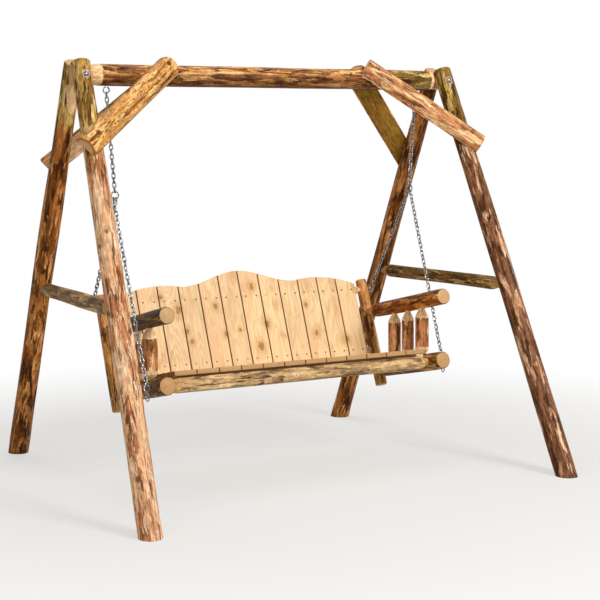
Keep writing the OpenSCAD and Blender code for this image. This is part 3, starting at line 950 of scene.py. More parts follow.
class Wiring:
    """Adds nodes to a tree and joins them."""

    def __init__(self, tree: bpy.types.NodeTree) -> None:
        """Keeps the tree."""
        self.tree = tree

    def add(self, kind: str, **settings: object) -> bpy.types.Node:
        """Adds a node.

        Args:
            kind: Its type name.
            **settings: Its own properties.

        Returns:
            The node.
        """
        node = self.tree.nodes.new(kind)
        for key, value in settings.items():
            setattr(node, key, value)
        return node

    def feed(self, socket: bpy.types.NodeSocket, value: Feed) -> None:
        """Joins a socket to another one, or sets its value."""
        value = value.socket if isinstance(value, Signal) else value
        if isinstance(value, bpy.types.NodeSocket):
            self.tree.links.new(value, socket)
        else:
            socket.default_value = value

    def fill(self, node: bpy.types.Node, *values: Feed, **named: Feed) -> Signal:
        """Feeds a node's inputs, in order or by name.

        Args:
            node: The node.
            *values: What its first inputs get.
            **named: What inputs get by name, with _ for a space.

        Returns:
            Its first output, if it has one.
        """
        for socket, value in zip(node.inputs, values):
            self.feed(socket, value)
        for key, value in named.items():
            self.feed(node.inputs[key.replace("_", " ")], value)
        return Signal(self, node.outputs[0]) if node.outputs else None

    def math(self, operation: str, *values: Feed) -> Signal:
        """Math node with one or two inputs."""
        return self.fill(self.add("ShaderNodeMath", operation=operation), *values)

    def root(self, x: Signal, y: Signal) -> Signal:
        """Length of the vector that has these two parts."""
        return self.math("SQRT", x ** 2.0 + y ** 2.0)

    def most(self, first: Feed, *rest: Feed) -> Feed:
        """Greatest of the values."""
        for value in rest:
            first = self.math("MAXIMUM", first, value)
        return first

    def vector(self, operation: str, *values: Feed) -> Signal:
        """Vector math node."""
        return self.fill(self.add("ShaderNodeVectorMath", operation=operation), *values)

    def mix(self, factor: Feed, first: Feed, second: Feed, blend: str = "MIX") -> Signal:
        """Mixes two colours, which are this node's inputs 6 and 7.

        Args:
            factor: Share of the second colour.
            first: First colour.
            second: Second colour.
            blend: Way of mixing.

        Returns:
            The mixed colour.
        """
        node = self.add("ShaderNodeMix", data_type="RGBA", blend_type=blend)
        for place, value in ((0, factor), (6, first), (7, second)):
            self.feed(node.inputs[place], value)
        return Signal(self, node.outputs[2])

    def noise(self, place: Feed, stretch: Point, detail: float = 4.0, rough: float = 0.55,
              warp: float = 0.0, shift: Point | None = None) -> Signal:
        """Noise over coordinates multiplied by a stretch, from 0 to 1.

        Args:
            place: The coordinates.
            stretch: What each of them is multiplied by.
            detail: Number of finer layers.
            rough: Strength of each finer layer.
            warp: How far the noise is pushed about by itself.
            shift: What is added to the coordinates first, for noise unlike others'.

        Returns:
            The noise.
        """
        if shift:
            place = self.vector("ADD", place, shift)
        return self.fill(self.add("ShaderNodeTexNoise"), Vector=self.vector("MULTIPLY", place, stretch),
                         Scale=1.0, Detail=detail, Roughness=rough, Distortion=warp)

    def step(self, value: Feed, low: Feed, high: Feed) -> Signal:
        """Smooth step from 0 at low to 1 at high."""
        return self.fill(self.add("ShaderNodeMapRange", interpolation_type="SMOOTHSTEP"), value, low, high)

    def split(self, value: Feed) -> tuple[Signal, ...]:
        """Takes a vector apart.

        Args:
            value: The vector.

        Returns:
            Its three parts.
        """
        node = self.add("ShaderNodeSeparateXYZ")
        self.fill(node, value)
        return tuple(Signal(self, socket) for socket in node.outputs)

    def attribute(self, name: str) -> Signal:
        """Vector attribute of the piece."""
        return Signal(self, self.add("ShaderNodeAttribute", attribute_name=name).outputs["Vector"])

    def objects(self) -> Signal:
        """Object coordinates."""
        return Signal(self, self.add("ShaderNodeTexCoord").outputs["Object"])

    def bump(self, height: Feed, strength: float, distance: float) -> Signal:
        """Normal of a surface with that height."""
        return self.fill(self.add("ShaderNodeBump"), Strength=strength, Distance=distance, Height=height)

    def group(self, tree: bpy.types.NodeTree, **values: Feed) -> dict[str, Signal]:
        """Places a group.

        Args:
            tree: The group.
            **values: What its inputs get by name, with _ for a space.

        Returns:
            Its outputs by name.
        """
        node = self.add("ShaderNodeGroup", node_tree=tree)
        self.fill(node, **values)
        return {socket.name: Signal(self, socket) for socket in node.outputs}

    def behind(self, lit: bpy.types.NodeSocket, plain: bpy.types.NodeSocket, share: Feed = 1.0) -> Signal:
        """Mixes a share of a plain shader in for camera, glossy and transmission rays.

        Args:
            lit: Shader that lights the scene or takes its shadows.
            plain: Shader that is seen.
            share: Share of the plain one.

        Returns:
            The mixed shader.
        """
        rays = self.add("ShaderNodeLightPath").outputs
        seen = self.most(rays["Is Camera Ray"], rays["Is Glossy Ray"], rays["Is Transmission Ray"])
        return self.fill(self.add("ShaderNodeMixShader"), seen * share, lit, plain)


class GroupWiring(Wiring):
    """Wiring of a new shader node group, with its inputs by name in given."""

    def __init__(self, name: str, inputs: dict[str, str], outputs: dict[str, str]) -> None:
        """Starts the group.

        Args:
            name: Name of the group.
            inputs: Names and kinds of its inputs.
            outputs: Names and kinds of its outputs.
        """
        super().__init__(bpy.data.node_groups.new(name, "ShaderNodeTree"))
        for names, way in ((inputs, "INPUT"), (outputs, "OUTPUT")):
            for key, kind in names.items():
                self.tree.interface.new_socket(name=key, in_out=way, socket_type=f"NodeSocket{kind}")
        taken = self.add("NodeGroupInput")
        self.given = {key: Signal(self, taken.outputs[key]) for key in inputs}

    def give(self, **values: Feed) -> bpy.types.NodeTree:
        """Feeds the group's outputs and gives its tree."""
        self.fill(self.add("NodeGroupOutput"), **values)
        return self.tree


def bark_group() -> bpy.types.NodeTree:
    """Skip-peeled log: sheets of inner bark left on streaky wood, with a dark edge and tool marks.

    Returns:
        Group that puts out colour, height and roughness.
    """
    w = GroupWiring(
        "skip_peel",
        {"Place": "Vector", "Seed": "Float", "Bark": "Float", "Flecks": "Float", "Wood": "Color",
         "Pale": "Color", "Bark light": "Color", "Bark dark": "Color"},
        {"Colour": "Color", "Height": "Float", "Roughness": "Float"})
    light, dark = w.given["Bark light"], w.given["Bark dark"]
    place = w.vector("ADD", w.given["Place"], w.vector("MULTIPLY", w.given["Seed"], (3.17, 1.73, 0.91)))
    sheets = w.noise(place, (34, 34, 6.5), 4, 0.62, 0.7)
    fringe = w.noise(place, (110, 110, 12), 4, 0.65)
    streak = w.noise(place, (210, 210, 6), 3, 0.6)
    fibre = w.noise(place, (700, 700, 20), 3, 0.6)
    mottle = w.noise(place, (85, 85, 30), 4, 0.62, 0.4, shift=(9, 4, 6))
    pale = w.noise(place, (46, 46, 9), 5, 0.65, 0.4, shift=(5, 2, 1))
    stain = w.noise(place, (50, 50, 10), 5, 0.66, 0.4, shift=(1, 7, 3))
    dash = w.noise(place, (190, 190, 80), 3, 0.55, 0.6)
    spread = w.noise(place, (20, 20, 6), 2, 0.5, shift=(2, 8, 5))
    over = sheets + (fringe * 0.30 - 0.15) - (w.given["Bark"] * -0.40 + 0.70)
    bark = w.step(over, -0.022, 0.022)
    edge = w.step(abs(over), 0.03, 0.0)
    # pale streaks over the wood: partly lighter wood, partly painted highlights
    wood = w.mix(w.step(pale, 0.45, 0.64), w.given["Wood"], w.given["Pale"])
    skin = w.mix(w.step(stain, 0.43, 0.60), light, dark)
    colour = w.mix(edge * 0.5, w.mix(bark, wood, skin), dark)
    fleck = dash - (w.given["Flecks"] * -0.18 + 0.72 - (spread * 0.20 - 0.10))
    marks = w.step(fleck, 0.0, 0.045)
    colour = w.mix(marks * 0.7, colour, light)
    colour = w.mix(w.step(fleck, 0.06, 0.12) * 0.75, colour, dark)
    shade = (w.step(streak, 0.30, 0.70) * 0.44 + 0.78) * (w.step(mottle, 0.32, 0.68) * 0.62 + 0.70)
    return w.give(Colour=w.mix(1.0, colour, shade * (fibre * 0.7 + 0.66), "MULTIPLY"),
                  Height=bark * 0.55 + fibre * 0.25 + (mottle - marks) * 0.35,
                  Roughness=mottle * 0.22 + 0.34)


def end_group() -> bpy.types.NodeTree:
    """Sawn end of a log: growth rings about the axis, a few checks and a thin dark rim.

    Returns:
        Group that puts out a colour.
    """
    w = GroupWiring("end_grain", {"Place": "Vector", "Radius": "Float", "Face": "Color", "Ring": "Color"},
                    {"Colour": "Color"})
    place = w.given["Place"]
    warp = w.noise(place, (38, 38, 4), 3, 0.5) * 7.0
    grime = w.noise(place, (120, 120, 4), 4, 0.65)
    x, y, _ = w.split(place)
    radius = w.root(x, y)
    part = radius / w.given["Radius"]
    ring = w.step(w.math("SINE", radius * 1350.0 + warp), -0.2, 0.95) * 0.34
    check = w.step(abs(w.math("SINE", w.math("ARCTAN2", y, x) * 1.5 + warp)), 0.035, 0.01)
    check = check * w.step(abs(part - 0.45), 0.4, 0.2) * 0.6
    dark = w.most(ring, w.step(grime, 0.42, 0.75) * 0.35, w.step(part, 0.86, 1.0) * 0.85, check)
    return w.give(Colour=w.mix(dark, w.given["Face"], w.given["Ring"]))


def pine_group() -> bpy.types.NodeTree:
    """Planed pine: growth rings cut lengthways, so they run as lines and long arches, under soft blotches.

    Returns:
        Group that puts out colour and height.
    """
    w = GroupWiring(
        "planed_pine", {"Place": "Vector", "Tone": "Float", "Swirl": "Float", "Early": "Color", "Late": "Color",
                        "Blotch": "Color"},
        {"Colour": "Color", "Height": "Float"})
    place, brown = w.given["Place"], w.given["Late"]
    slow = w.noise(place, (5, 5, 0.9), 3, 0.5)
    streak = w.noise(place, (240, 240, 4), 3, 0.6)
    fibre = w.noise(place, (900, 900, 14), 3, 0.6)
    cloud = w.noise(place, (19, 19, 8), 4, 0.6, 0.5)
    warm = w.noise(place, (13, 13, 4), 3, 0.55, shift=(3, 1, 7))
    x, y, _ = w.split(place)
    saw = w.math("FRACT", w.root(x, y + (slow * 0.12 + 0.02)) * 250.0 + w.given["Swirl"])
    late = w.step(saw, 0.25, 0.95) * w.step(saw, 1.0, 0.95)
    colour = w.mix(late * 0.30, w.given["Early"], brown)
    colour = w.mix(w.step(cloud, 0.5, 0.72) * 0.55, colour, brown)
    colour = w.mix(w.step(warm, 0.45, 0.65) * 0.5, colour, w.given["Blotch"])
    shade = (w.step(streak, 0.3, 0.7) * 0.17 + 0.87 + w.given["Tone"]) * (fibre * 0.22 + 0.89)
    return w.give(Colour=w.mix(1.0, colour, shade, "MULTIPLY"), Height=late * 0.4 + fibre * 0.5)


def knot_group() -> bpy.types.NodeTree:
    """One knot of a board: a dark oval with a ragged rim, a brown cloud and the grain bent round it.

    Returns:
        Group that puts out a mask, a cloud and a swirl.
    """
    w = GroupWiring("board_knot", {"Place": "Vector", "Middle": "Vector", "Size": "Float"},
                    {"Mask": "Float", "Cloud": "Float", "Swirl": "Float"})
    rough = w.noise(w.given["Place"], (110, 110, 70), 4, 0.65, 0.6)
    x, _, z = w.split(w.vector("SUBTRACT", w.given["Place"], w.given["Middle"]))
    part = w.root(x, z * 0.72) / w.given["Size"] + (rough * 1.8 - 0.9)
    bend = (w.most(part, 0.0) * 0.6) ** 3.0 + 1.0
    return w.give(Mask=w.step(part, 1.0, 0.5), Cloud=w.step(part, 2.8, 0.7), Swirl=2.4 / bend)


@dataclass(frozen=True)
class Groups:
    """Node groups that the finishes share."""

    bark: bpy.types.NodeTree
    end: bpy.types.NodeTree
    pine: bpy.types.NodeTree
    knot: bpy.types.NodeTree


def start_material(name: str) -> tuple[bpy.types.Material, Wiring, bpy.types.Node]:
    """Starts a material that has nodes.

    Args:
        name: Its name.

    Returns:
        The material, its wiring and its Principled shader.
    """
    material = bpy.data.materials.new(name)
    material.use_nodes = True
    return material, Wiring(material.node_tree), material.node_tree.nodes["Principled BSDF"]


class Tones(NamedTuple):
    """Colours of a stretch of log: peeled wood, pale streaks that are partly painted highlights, and lighter
    and darker inner bark.
    """

    wood: str
    pale: str
    light: str
    dark: str


class Wood(Enum):
    """Colours that the logs have, and one set darkened as painted shade for the left arm."""

    OLIVE = Tones("a67e3e", "d0b276", "845e2c", "40290c")
    COPPER = Tones("d4a47c", "e6c8a6", "ba7a52", "6a3e22")
    BROWN = Tones("b28260", "e0b898", "80543a", "40260f")
    RUDDY = Tones("ac6c34", "dca464", "7c4a1c", "3a1e08")
    AMBER = Tones("bd8347", "dfb077", "8f5a34", "3f210f")
    MOSS = Tones("b0904c", "dcc48a", "86642c", "3c2608")
    HONEY = Tones("cc9450", "ecc080", "a4682a", "5a3410")
    ROSY = Tones("d8a272", "f4d0a2", "bc8054", "6c4024")
    SHADED = Tones("b4905a", "d4ae70", "866230", "44300f")
    NUT = Tones("a9783a", "d2a468", "784a1c", "3d240e")
    CHESTNUT = Tones("bc7a3a", "dca45e", "925422", "4a280c")
    # the arm's colours darkened and greyed: painted shade for the left arm
    SHADE_DARKENED = Tones("84602c", "aa844c", "5e4220", "2e1c0a")
    TAN = Tones("c08347", "e2b27c", "8e5526", "4a2710")
    APRICOT = Tones("dca26c", "f0caa0", "bc7a4e", "68401f")
    DRIFT = Tones("bc9a6c", "dcbc90", "967a58", "5a4028")
    RUSSET = Tones("a5773f", "cda26c", "74481f", "3d2410")


@dataclass(frozen=True)
class LogFinish:
    """Oiled skip-peeled log.

    Attributes:
        wood: Colours of the log.
        tip: Colours of its far stretch, if they change along it.
        turn: Where they start and end to change, along the log.
        bark: Share of the log that inner bark covers, from 0 to 1.
        flecks: Strength of the tool marks.
        seed: Moves the pattern.
        radius: Radius of the log's end.
        peel: Colour of peeled and sawn wood.
        face: Colour of sawn ends.
        under: How much darker the side of the log with the greater first grain coordinate is: painted shade, on
            the beam its underside.
    """

    wood: Wood
    tip: Wood | None = None
    turn: tuple[float, float] = (0.0, 1.0)
    bark: float = 0.55
    flecks: float = 0.6
    seed: float = 0.0
    radius: float = 0.04
    peel: str = "dcb68a"
    face: str = "cfa878"
    under: float = 0.0

    def build(self, name: str, groups: Groups) -> bpy.types.Material:
        """Makes the material.

        Args:
            name: Its name.
            groups: Shared node groups.

        Returns:
            The material.
        """
        material, w, shader = start_material(name)
        place = w.attribute("grain_at")
        peel, end, knot = w.split(w.attribute("cuts"))
        across, _, run = w.split(place)
        near, far = self.wood.value, (self.tip or self.wood).value
        bare_wood, near_light, near_dark = hex_colour(self.peel), hex_colour(near.light), hex_colour(near.dark)
        ragged = w.noise(place, (60, 60, 9), 4, 0.6)
        along = w.step(run + (ragged * 0.5 - 0.25), *self.turn) if self.tip else 0.0
        wood, pale, light, dark = (w.mix(along, hex_colour(a), hex_colour(b)) for a, b in zip(near, far))
        skin = w.group(groups.bark, Place=place, Seed=self.seed, Bark=self.bark, Flecks=self.flecks, Wood=wood,
                       Pale=pale, Bark_light=light, Bark_dark=dark)
        bare = w.group(groups.bark, Place=place, Seed=self.seed + 5, Bark=0.05, Flecks=0.12, Wood=bare_wood,
                       Pale=bare_wood, Bark_light=hex_colour(near.wood), Bark_dark=near_light)
        rings = w.group(groups.end, Place=place, Radius=self.radius, Face=hex_colour(self.face),
                        Ring=near_light)
        # painted shade: the side with the greater first grain coordinate, the beam's underside, is darkened by
        # under
        low = w.step(ragged * 0.05 + across, 0.01, 0.04) * self.under
        cone = w.step(peel + (w.noise(place, (140, 140, 22), 3, 0.6) * 0.7 - 0.35), 0.4, 0.55)
        gnarl = w.step(knot + (w.noise(place, (150, 150, 90), 3, 0.6) * 0.5 - 0.25), 0.35, 0.8)
        colour = w.mix(cone, w.mix(low, skin["Colour"], near_dark), bare["Colour"])
        colour = w.mix(gnarl * 0.85, colour, near_dark)
        w.fill(shader, Base_Color=w.mix(w.step(end, 0.45, 0.6), colour, rings["Colour"]),
               Roughness=skin["Roughness"], Specular_IOR_Level=0.05, Coat_Weight=0.04, Coat_Roughness=0.2,
               Normal=w.bump(skin["Height"], 0.6, 0.0011))
        return material


def log_piece(name: str, patches: list[Patch], finish: LogFinish, groups: Groups, body: Body) -> None:
    """Hands logs to the frame as one piece, in place of the node of that name."""
    add_piece(f"log_{name}", patches, finish.build(name, groups), body, (name,))


@dataclass(frozen=True)
class PineFinish:
    """Oiled planed pine with knots.

    Attributes:
        name: Name of the material.
        knots: Across, along and radius of each knot, in the plane of the boards.
        early: Pale wood between the growth lines.
        late: Growth lines and brown clouds.
        blotch: Pinkish areas.
        heart: Two browns inside a knot.
        halo: Cloud round a knot.
        edge: Long edges of the boards: partly stain, partly painted shade of the gaps between them.
        sawn: Sawn ends of the boards.
    """

    name: str
    knots: tuple[tuple[float, float, float], ...]
    early: str = "f0d0a0"
    late: str = "bf8a4e"
    blotch: str = "e2b184"
    heart: tuple[str, str] = ("6a4218", "b07c3c")
    halo: str = "c08a45"
    edge: str = "74461a"
    sawn: str = "a3723f"

    def build(self, groups: Groups) -> bpy.types.Material:
        """Makes the material.

        Args:
            groups: Shared node groups.

        Returns:
            The material.
        """
        material, w, shader = start_material(self.name)
        place = w.attribute("grain_at")
        across, along, tone = w.split(w.attribute("cuts"))
        side, sawn, _ = w.split(w.attribute("board_at"))
        spot = w.fill(w.add("ShaderNodeCombineXYZ"), X=across, Z=along)
        mask: Feed = 0.0
        cloud: Feed = 0.0
        swirl: Feed = 0.0
        for x, z, size in self.knots:
            knot = w.group(groups.knot, Place=spot, Middle=(x, 0.0, z), Size=size)
            mask, cloud, swirl = w.most(mask, knot["Mask"]), w.most(cloud, knot["Cloud"]), swirl + knot["Swirl"]
        wood = w.group(groups.pine, Place=place, Tone=tone, Swirl=swirl, Early=hex_colour(self.early),
                       Late=hex_colour(self.late), Blotch=hex_colour(self.blotch))
        speck = w.noise(place, (260, 260, 260), 3, 0.6)
        heart = w.mix(w.step(speck, 0.35, 0.65), *(hex_colour(brown) for brown in self.heart))
        colour = w.mix(cloud * 0.5, wood["Colour"], hex_colour(self.halo))
        colour = w.mix(mask * 0.8, colour, heart)
        # darker long edges: partly stain, partly painted shade of the gaps between boards
        colour = w.mix(w.step(abs(side), 0.93, 0.99) * 0.85, colour, hex_colour(self.edge))
        colour = w.mix(sawn * (speck * 0.9 + 0.3), colour, hex_colour(self.sawn))
        w.fill(shader, Base_Color=colour, Roughness=wood["Height"] * 0.15 + 0.42, Specular_IOR_Level=0.2,
               Coat_Weight=0.06, Coat_Roughness=0.3, Normal=w.bump(wood["Height"], 0.35, 0.0004))
        return material


@dataclass(frozen=True)
class ZincFinish:
    """Zinc-plated steel with a few dull spots."""

    name: str = "zinc"
    bright: str = "bdbdbb"
    dull: str = "474745"

    def build(self) -> bpy.types.Material:
        """Makes the material.

        Returns:
            The material.
        """
        material, w, shader = start_material(self.name)
        spots = w.noise(w.objects(), (160, 160, 160), 4, 0.6)
        colour = w.mix(w.step(spots, 0.36, 0.6), hex_colour(self.bright), hex_colour(self.dull))
        w.fill(shader, Base_Color=colour, Roughness=spots * 0.25 + 0.18, Metallic=1.0)
        return material


# ---------------------------------------------------------------- sub-assemblies


@dataclass
class AFrame:
    """Legs, stretchers, beam and half-log braces.

    Attributes:
        groups: Shared node groups.
        under_floor: Length of leg that is laid out below the ground and cut off.
        seat_band: Half the length of the legs' closer rings at the bolts.
        seat_room: How much wider the washer seats are than the washers.
        clear: Clearance between a leg and the beam's tenon.
        shoulder: Gap between the legs and the beam's shoulders.
        slice_down: Drop of the rear left leg's peeled slice from the leg's top.
        slice_len: Length of the slice.
        slice_rim: Width of its rim, and its distance from the leg's axis.
        slice_narrow: How fast it narrows with its fall.
        stretcher_in: Reach of a stretcher past the legs' axes.
        stretcher_cone: Length of its cones.
        dome: Length of the rounded upper end of the front left brace.
    """

    groups: Groups
    under_floor: float = 0.06
    seat_band: float = 0.024
    seat_room: float = 0.004
    clear: float = 0.0002
    shoulder: float = 0.003
    slice_down: float = 0.085
    slice_len: float = 0.13
    slice_rim: float = 0.014
    slice_narrow: float = 0.22
    stretcher_in: float = 0.012
    stretcher_cone: float = 0.042
    dome: float = 0.030

    def log(self, name: str, patch: Patch, finish: LogFinish) -> None:
        """Hands one log of the A-frame to the frame."""
        log_piece(name, [patch], finish, self.groups, Body.FRAME)

    def peel_slice(self, patch: Patch, depth: np.ndarray) -> None:
        """Bares a slice of a rear leg's inner side: a wedge that narrows as it falls, with a soft rim.

        Args:
            patch: The leg.
            depth: Distance of each of its points behind the middle.
        """
        fall = SIZE.frame_h - self.slice_down - patch.points[:, 2]
        inner = SIZE.leg_y(patch.points[:, 2]) - depth
        part = (inner - self.slice_rim - self.slice_narrow * fall) / self.slice_rim
        bare = np.clip(part, 0, 1) * np.clip(fall / 0.008, 0, 1) * (fall < self.slice_len)
        patch.cuts[:, 0] = np.maximum(patch.cuts[:, 0], bare)

    def leg(self, right: bool, front: bool, finish: LogFinish, knots: tuple[Knot, ...] = ()) -> None:
        """Builds a leg: a tapering log cut level at the foot and square at the top.

        It is sawn flat where it clamps the beam's tenon, and a washer seat is sunk round the bolt.

        Args:
            right: Whether it stands on the right.
            front: Whether it stands in front.
            finish: Its finish.
            knots: Its knots.
        """
        x, y = (1 if right else -1), (-1 if front else 1)
        top = np.array([x * SIZE.top_spread / 2, y * SIZE.top_gap / 2, SIZE.frame_h])
        foot = np.array([x * SIZE.spread(front) / 2, y * SIZE.stance / 2, 0.0])
        length = float(np.linalg.norm(top - foot))
        foot_r = SIZE.leg_foot_r - MM / 10  # the solid's foot has flats that lie inside the true circle
        outline = ((-self.under_floor, foot_r), (0.0, foot_r),
                   (length - SIZE.bevel, SIZE.leg_top_r), (length, SIZE.leg_top_r - SIZE.bevel))
        bolt = length * SIZE.beam_z / SIZE.frame_h
        shape = LogShape(foot, top, outline, ((0.0, 0.0), (length, 0.0)), seed=11 + 2 * right + front,
                         sway=0.003, knots=knots, floor=True,
                         fine=((bolt - self.seat_band, bolt + self.seat_band, 0.002),))
        patch = shape.patch(cols=88)
        patch.bore(np.array([x * SIZE.top_spread / 2, 0, SIZE.beam_z]), np.array([0.0, y, 0.0]),
                   SIZE.washer_r + self.seat_room, SIZE.spot_y)
        depth = patch.points[:, 1] * y
        sawn = SIZE.tenon_t / 2 + self.clear
        patch.points[depth < sawn, 1] = y * sawn
        if not (right or front):
            self.peel_slice(patch, depth)
        self.log(f"leg_{ENDS[front]}_{SIDES[right]}", patch, finish)

    def stretcher(self, right: bool, finish: LogFinish) -> None:
        """Builds a stretcher between the legs of one side.

        Args:
            right: Whether it is on the right.
            finish: Its finish.
        """
        x, z = (1 if right else -1), SIZE.stretcher_h
        rear = np.array([x * SIZE.leg_x(z, False), SIZE.leg_y(z), z])
        front = np.array([x * SIZE.leg_x(z, True), -SIZE.leg_y(z), z])
        more = self.stretcher_in * unit(front - rear)
        tenon = (self.stretcher_in + SIZE.leg_r(z) / math.cos(SIZE.leg_lean)
                 + SIZE.stretcher_tenon_r * math.tan(SIZE.leg_lean) + MM)
        shape = tenoned(rear - more, front + more, SIZE.stretcher_r, (tenon,) * 2, (self.stretcher_cone,) * 2,
                        SIZE.stretcher_tenon_r, past=(0.8, 0.8), seed=31 + right)
        self.log(f"stretcher_{SIDES[right]}", shape.patch(), finish)

    def beam(self, finish: LogFinish) -> None:
        """Builds the beam with its peeled tapers and flattened tenons.

        Args:
            finish: Its finish.
        """
        half = SIZE.top_spread / 2 - SIZE.leg_top_r - self.shoulder
        end = SIZE.top_spread / 2 + SIZE.tenon_past
        start = np.array([-end, 0.0, SIZE.beam_z])
        tip = ((0.0, SIZE.beam_end_r - SIZE.bevel), (SIZE.bevel, SIZE.beam_end_r),
               (end - half, SIZE.beam_end_r), (end - half + SIZE.beam_taper, SIZE.beam_r))
        outline = tip + tuple((2 * end - run, radius) for run, radius in tip[::-1])
        peel = end - half + SIZE.beam_taper
        peeled = ((0.0, 1.0), (peel - 0.02, 1.0), (peel + 0.02, 0.0), (2 * end - peel + 0.03, 0.0),
                  (2 * end - peel + 0.04, 1.0), (2 * end, 1.0))
        patch = LogShape(start, -start + [0, 0, 2 * SIZE.beam_z], outline, peeled, seed=5, sway=0.0).patch()
        tenon = np.abs(patch.points[:, 0]) > half
        patch.points[tenon, 1] = np.clip(patch.points[tenon, 1], -SIZE.tenon_t / 2, SIZE.tenon_t / 2)
        self.log("beam", patch, finish)

    def brace(self, right: bool, front: bool, finish: LogFinish) -> None:
        """Builds a half-log brace laid over the leg and the beam, with a bore for each lag screw.

        Args:
            right: Whether it is on the right.
            front: Whether it is in front.
            finish: Its finish.
        """
        low, top = SIZE.brace_ends(front)
        flip = np.array([1 if right else -1, 1 if front else -1, 1])
        lean = SIZE.brace_lean(front)
        out = np.array([0, -math.cos(lean), math.sin(lean)]) * flip
        lags = SIZE.lag_points(front)
        bores = tuple(float(np.linalg.norm(lag - low)) for lag in lags)
        dome = self.dome if front and not right else 0.0
        patch = half_log(low * flip, top * flip, out, SIZE.brace_r, 41 + 2 * right + front, bores, dome)
        for lag in lags:
            patch.bore(lag * flip, out, SIZE.lag_bore_r, SIZE.lag_head_at)
        self.log(f"brace_{ENDS[front]}_{SIDES[right]}", patch, finish)

    def build(self) -> None:
        """Builds every log of the A-frame."""
        self.leg(False, True, LogFinish(Wood.COPPER, Wood.OLIVE, (1.44, 1.60), 0.42, 0.25, 1.0),
                 (Knot(0.215, 4.0, 0.011, 0.002), Knot(1.19, 4.35, 0.008, 0.001)))
        self.leg(True, True, LogFinish(Wood.BROWN, Wood.MOSS, (1.50, 1.72), 0.62, 0.6, 2.0),
                 (Knot(0.6, 4.2, 0.011, 0.002),))
        self.leg(False, False, LogFinish(Wood.RUDDY, Wood.MOSS, (1.66, 1.72), 0.5, 0.6, 3.0),
                 (Knot(1.1, 4.3, 0.014),))
        self.leg(True, False, LogFinish(Wood.RUDDY, seed=4.0))
        self.stretcher(False, LogFinish(Wood.SHADED, bark=0.6, seed=5.0, peel="b8935a"))
        self.stretcher(True, LogFinish(Wood.SHADED, bark=0.65, seed=6.0, peel="b8935a"))
        # the beam's underside is darkened by under: painted shade
        self.beam(LogFinish(Wood.AMBER, Wood.MOSS, (1.42, 1.56), 0.5, seed=7.0, peel="e6c092", under=0.55))
        self.brace(False, True, LogFinish(Wood.HONEY, bark=0.34, flecks=1.0, seed=8.0, face="dcae80"))
        self.brace(True, True, LogFinish(Wood.ROSY, bark=0.5, flecks=0.7, seed=9.0, face="dcae80"))
        self.brace(False, False, LogFinish(Wood.HONEY, bark=0.5, seed=10.0, peel="e4bf98"))
        self.brace(True, False, LogFinish(Wood.HONEY, bark=0.5, seed=11.0, peel="96702c"))


@dataclass
class Chains:
    """Chains of welded links."""

    zinc: bpy.types.Material

    def chain(self, start: np.ndarray, end: np.ndarray, links: int, right: bool) -> list[Patch]:
        """Works out a taut chain.

        Each link is moved down the line by one pitch and turned a quarter about it.

        Args:
            start: Wire that it hangs on, for the right side.
            end: Wire at its lower end.
            links: Number of links.
            right: Side of the swing.

        Returns:
            One patch a link.
        """
        way = unit(end - start)
        tip, roll = math.asin(way[1]), math.atan2(-way[0], -way[2])
        c, s = math.cos(roll), math.sin(roll)
        matrix = np.array([[c, 0, s], [0, 1, 0], [-s, 0, c]]) @ turn_x(math.degrees(tip))
        points, quads = link_patch()
        crossed = points[:, [1, 0, 2]] * [-1, 1, 1]
        steps = SIZE.eye_wire / 2 + SIZE.play - SIZE.link_in / 2 - np.arange(links) * SIZE.link_pitch
        patches = [plain_patch(turned((crossed if number % 2 else points) + [0, 0, drop], matrix, start), quads)
                   for number, drop in enumerate(steps)]
        return patches if right else [patch.mirrored() for patch in patches]

    def hang(self, name: str, patches: list[Patch], body: Body) -> None:
        """Hands a chain's links to the frame as one piece."""
        add_piece(f"links_{name}", patches, self.zinc, body, (name,), sharp=80)

    def build(self) -> None:
        """Builds the six chains and dresses the rest of the steel."""
        swing = np.array([SIZE.beam_eye_x, 0, SIZE.swing_z])
        ring = np.array([SIZE.ring_x, 0, SIZE.ring_z + SIZE.ring_r])
        front, rear = (np.array([SIZE.ring_x + side * SIZE.ring_side, 0, SIZE.rock_z]) for side in (1, -1))
        front_eye, rear_eye = SIZE.front_eye + SIZE.bench_at, SIZE.rear_eye + SIZE.bench_at
        under = front_eye - SIZE.eye_r * unit((front - front_eye) * [0, 1, 1])
        for right, side in enumerate(SIDES):
            tail = self.chain(under, under - [0, 0, SIZE.link_in], SIZE.tail_links, bool(right))
            for name, top, end, links, more, body in (
                    ("upper", swing, ring, SIZE.upper_links, [], Body.HANGER),
                    ("front", front, front_eye, SIZE.front_links, tail, Body.BENCH),
                    ("rear", rear, rear_eye, SIZE.rear_links, [], Body.BENCH)):
                self.hang(f"{name}_chain_{side}", self.chain(top, end, links, bool(right)) + more, body)
        for node in ("apex_bolts", "brace_lags", "beam_eyes", "joining_rings", "seat_eyes"):
            dress(node, self.zinc)


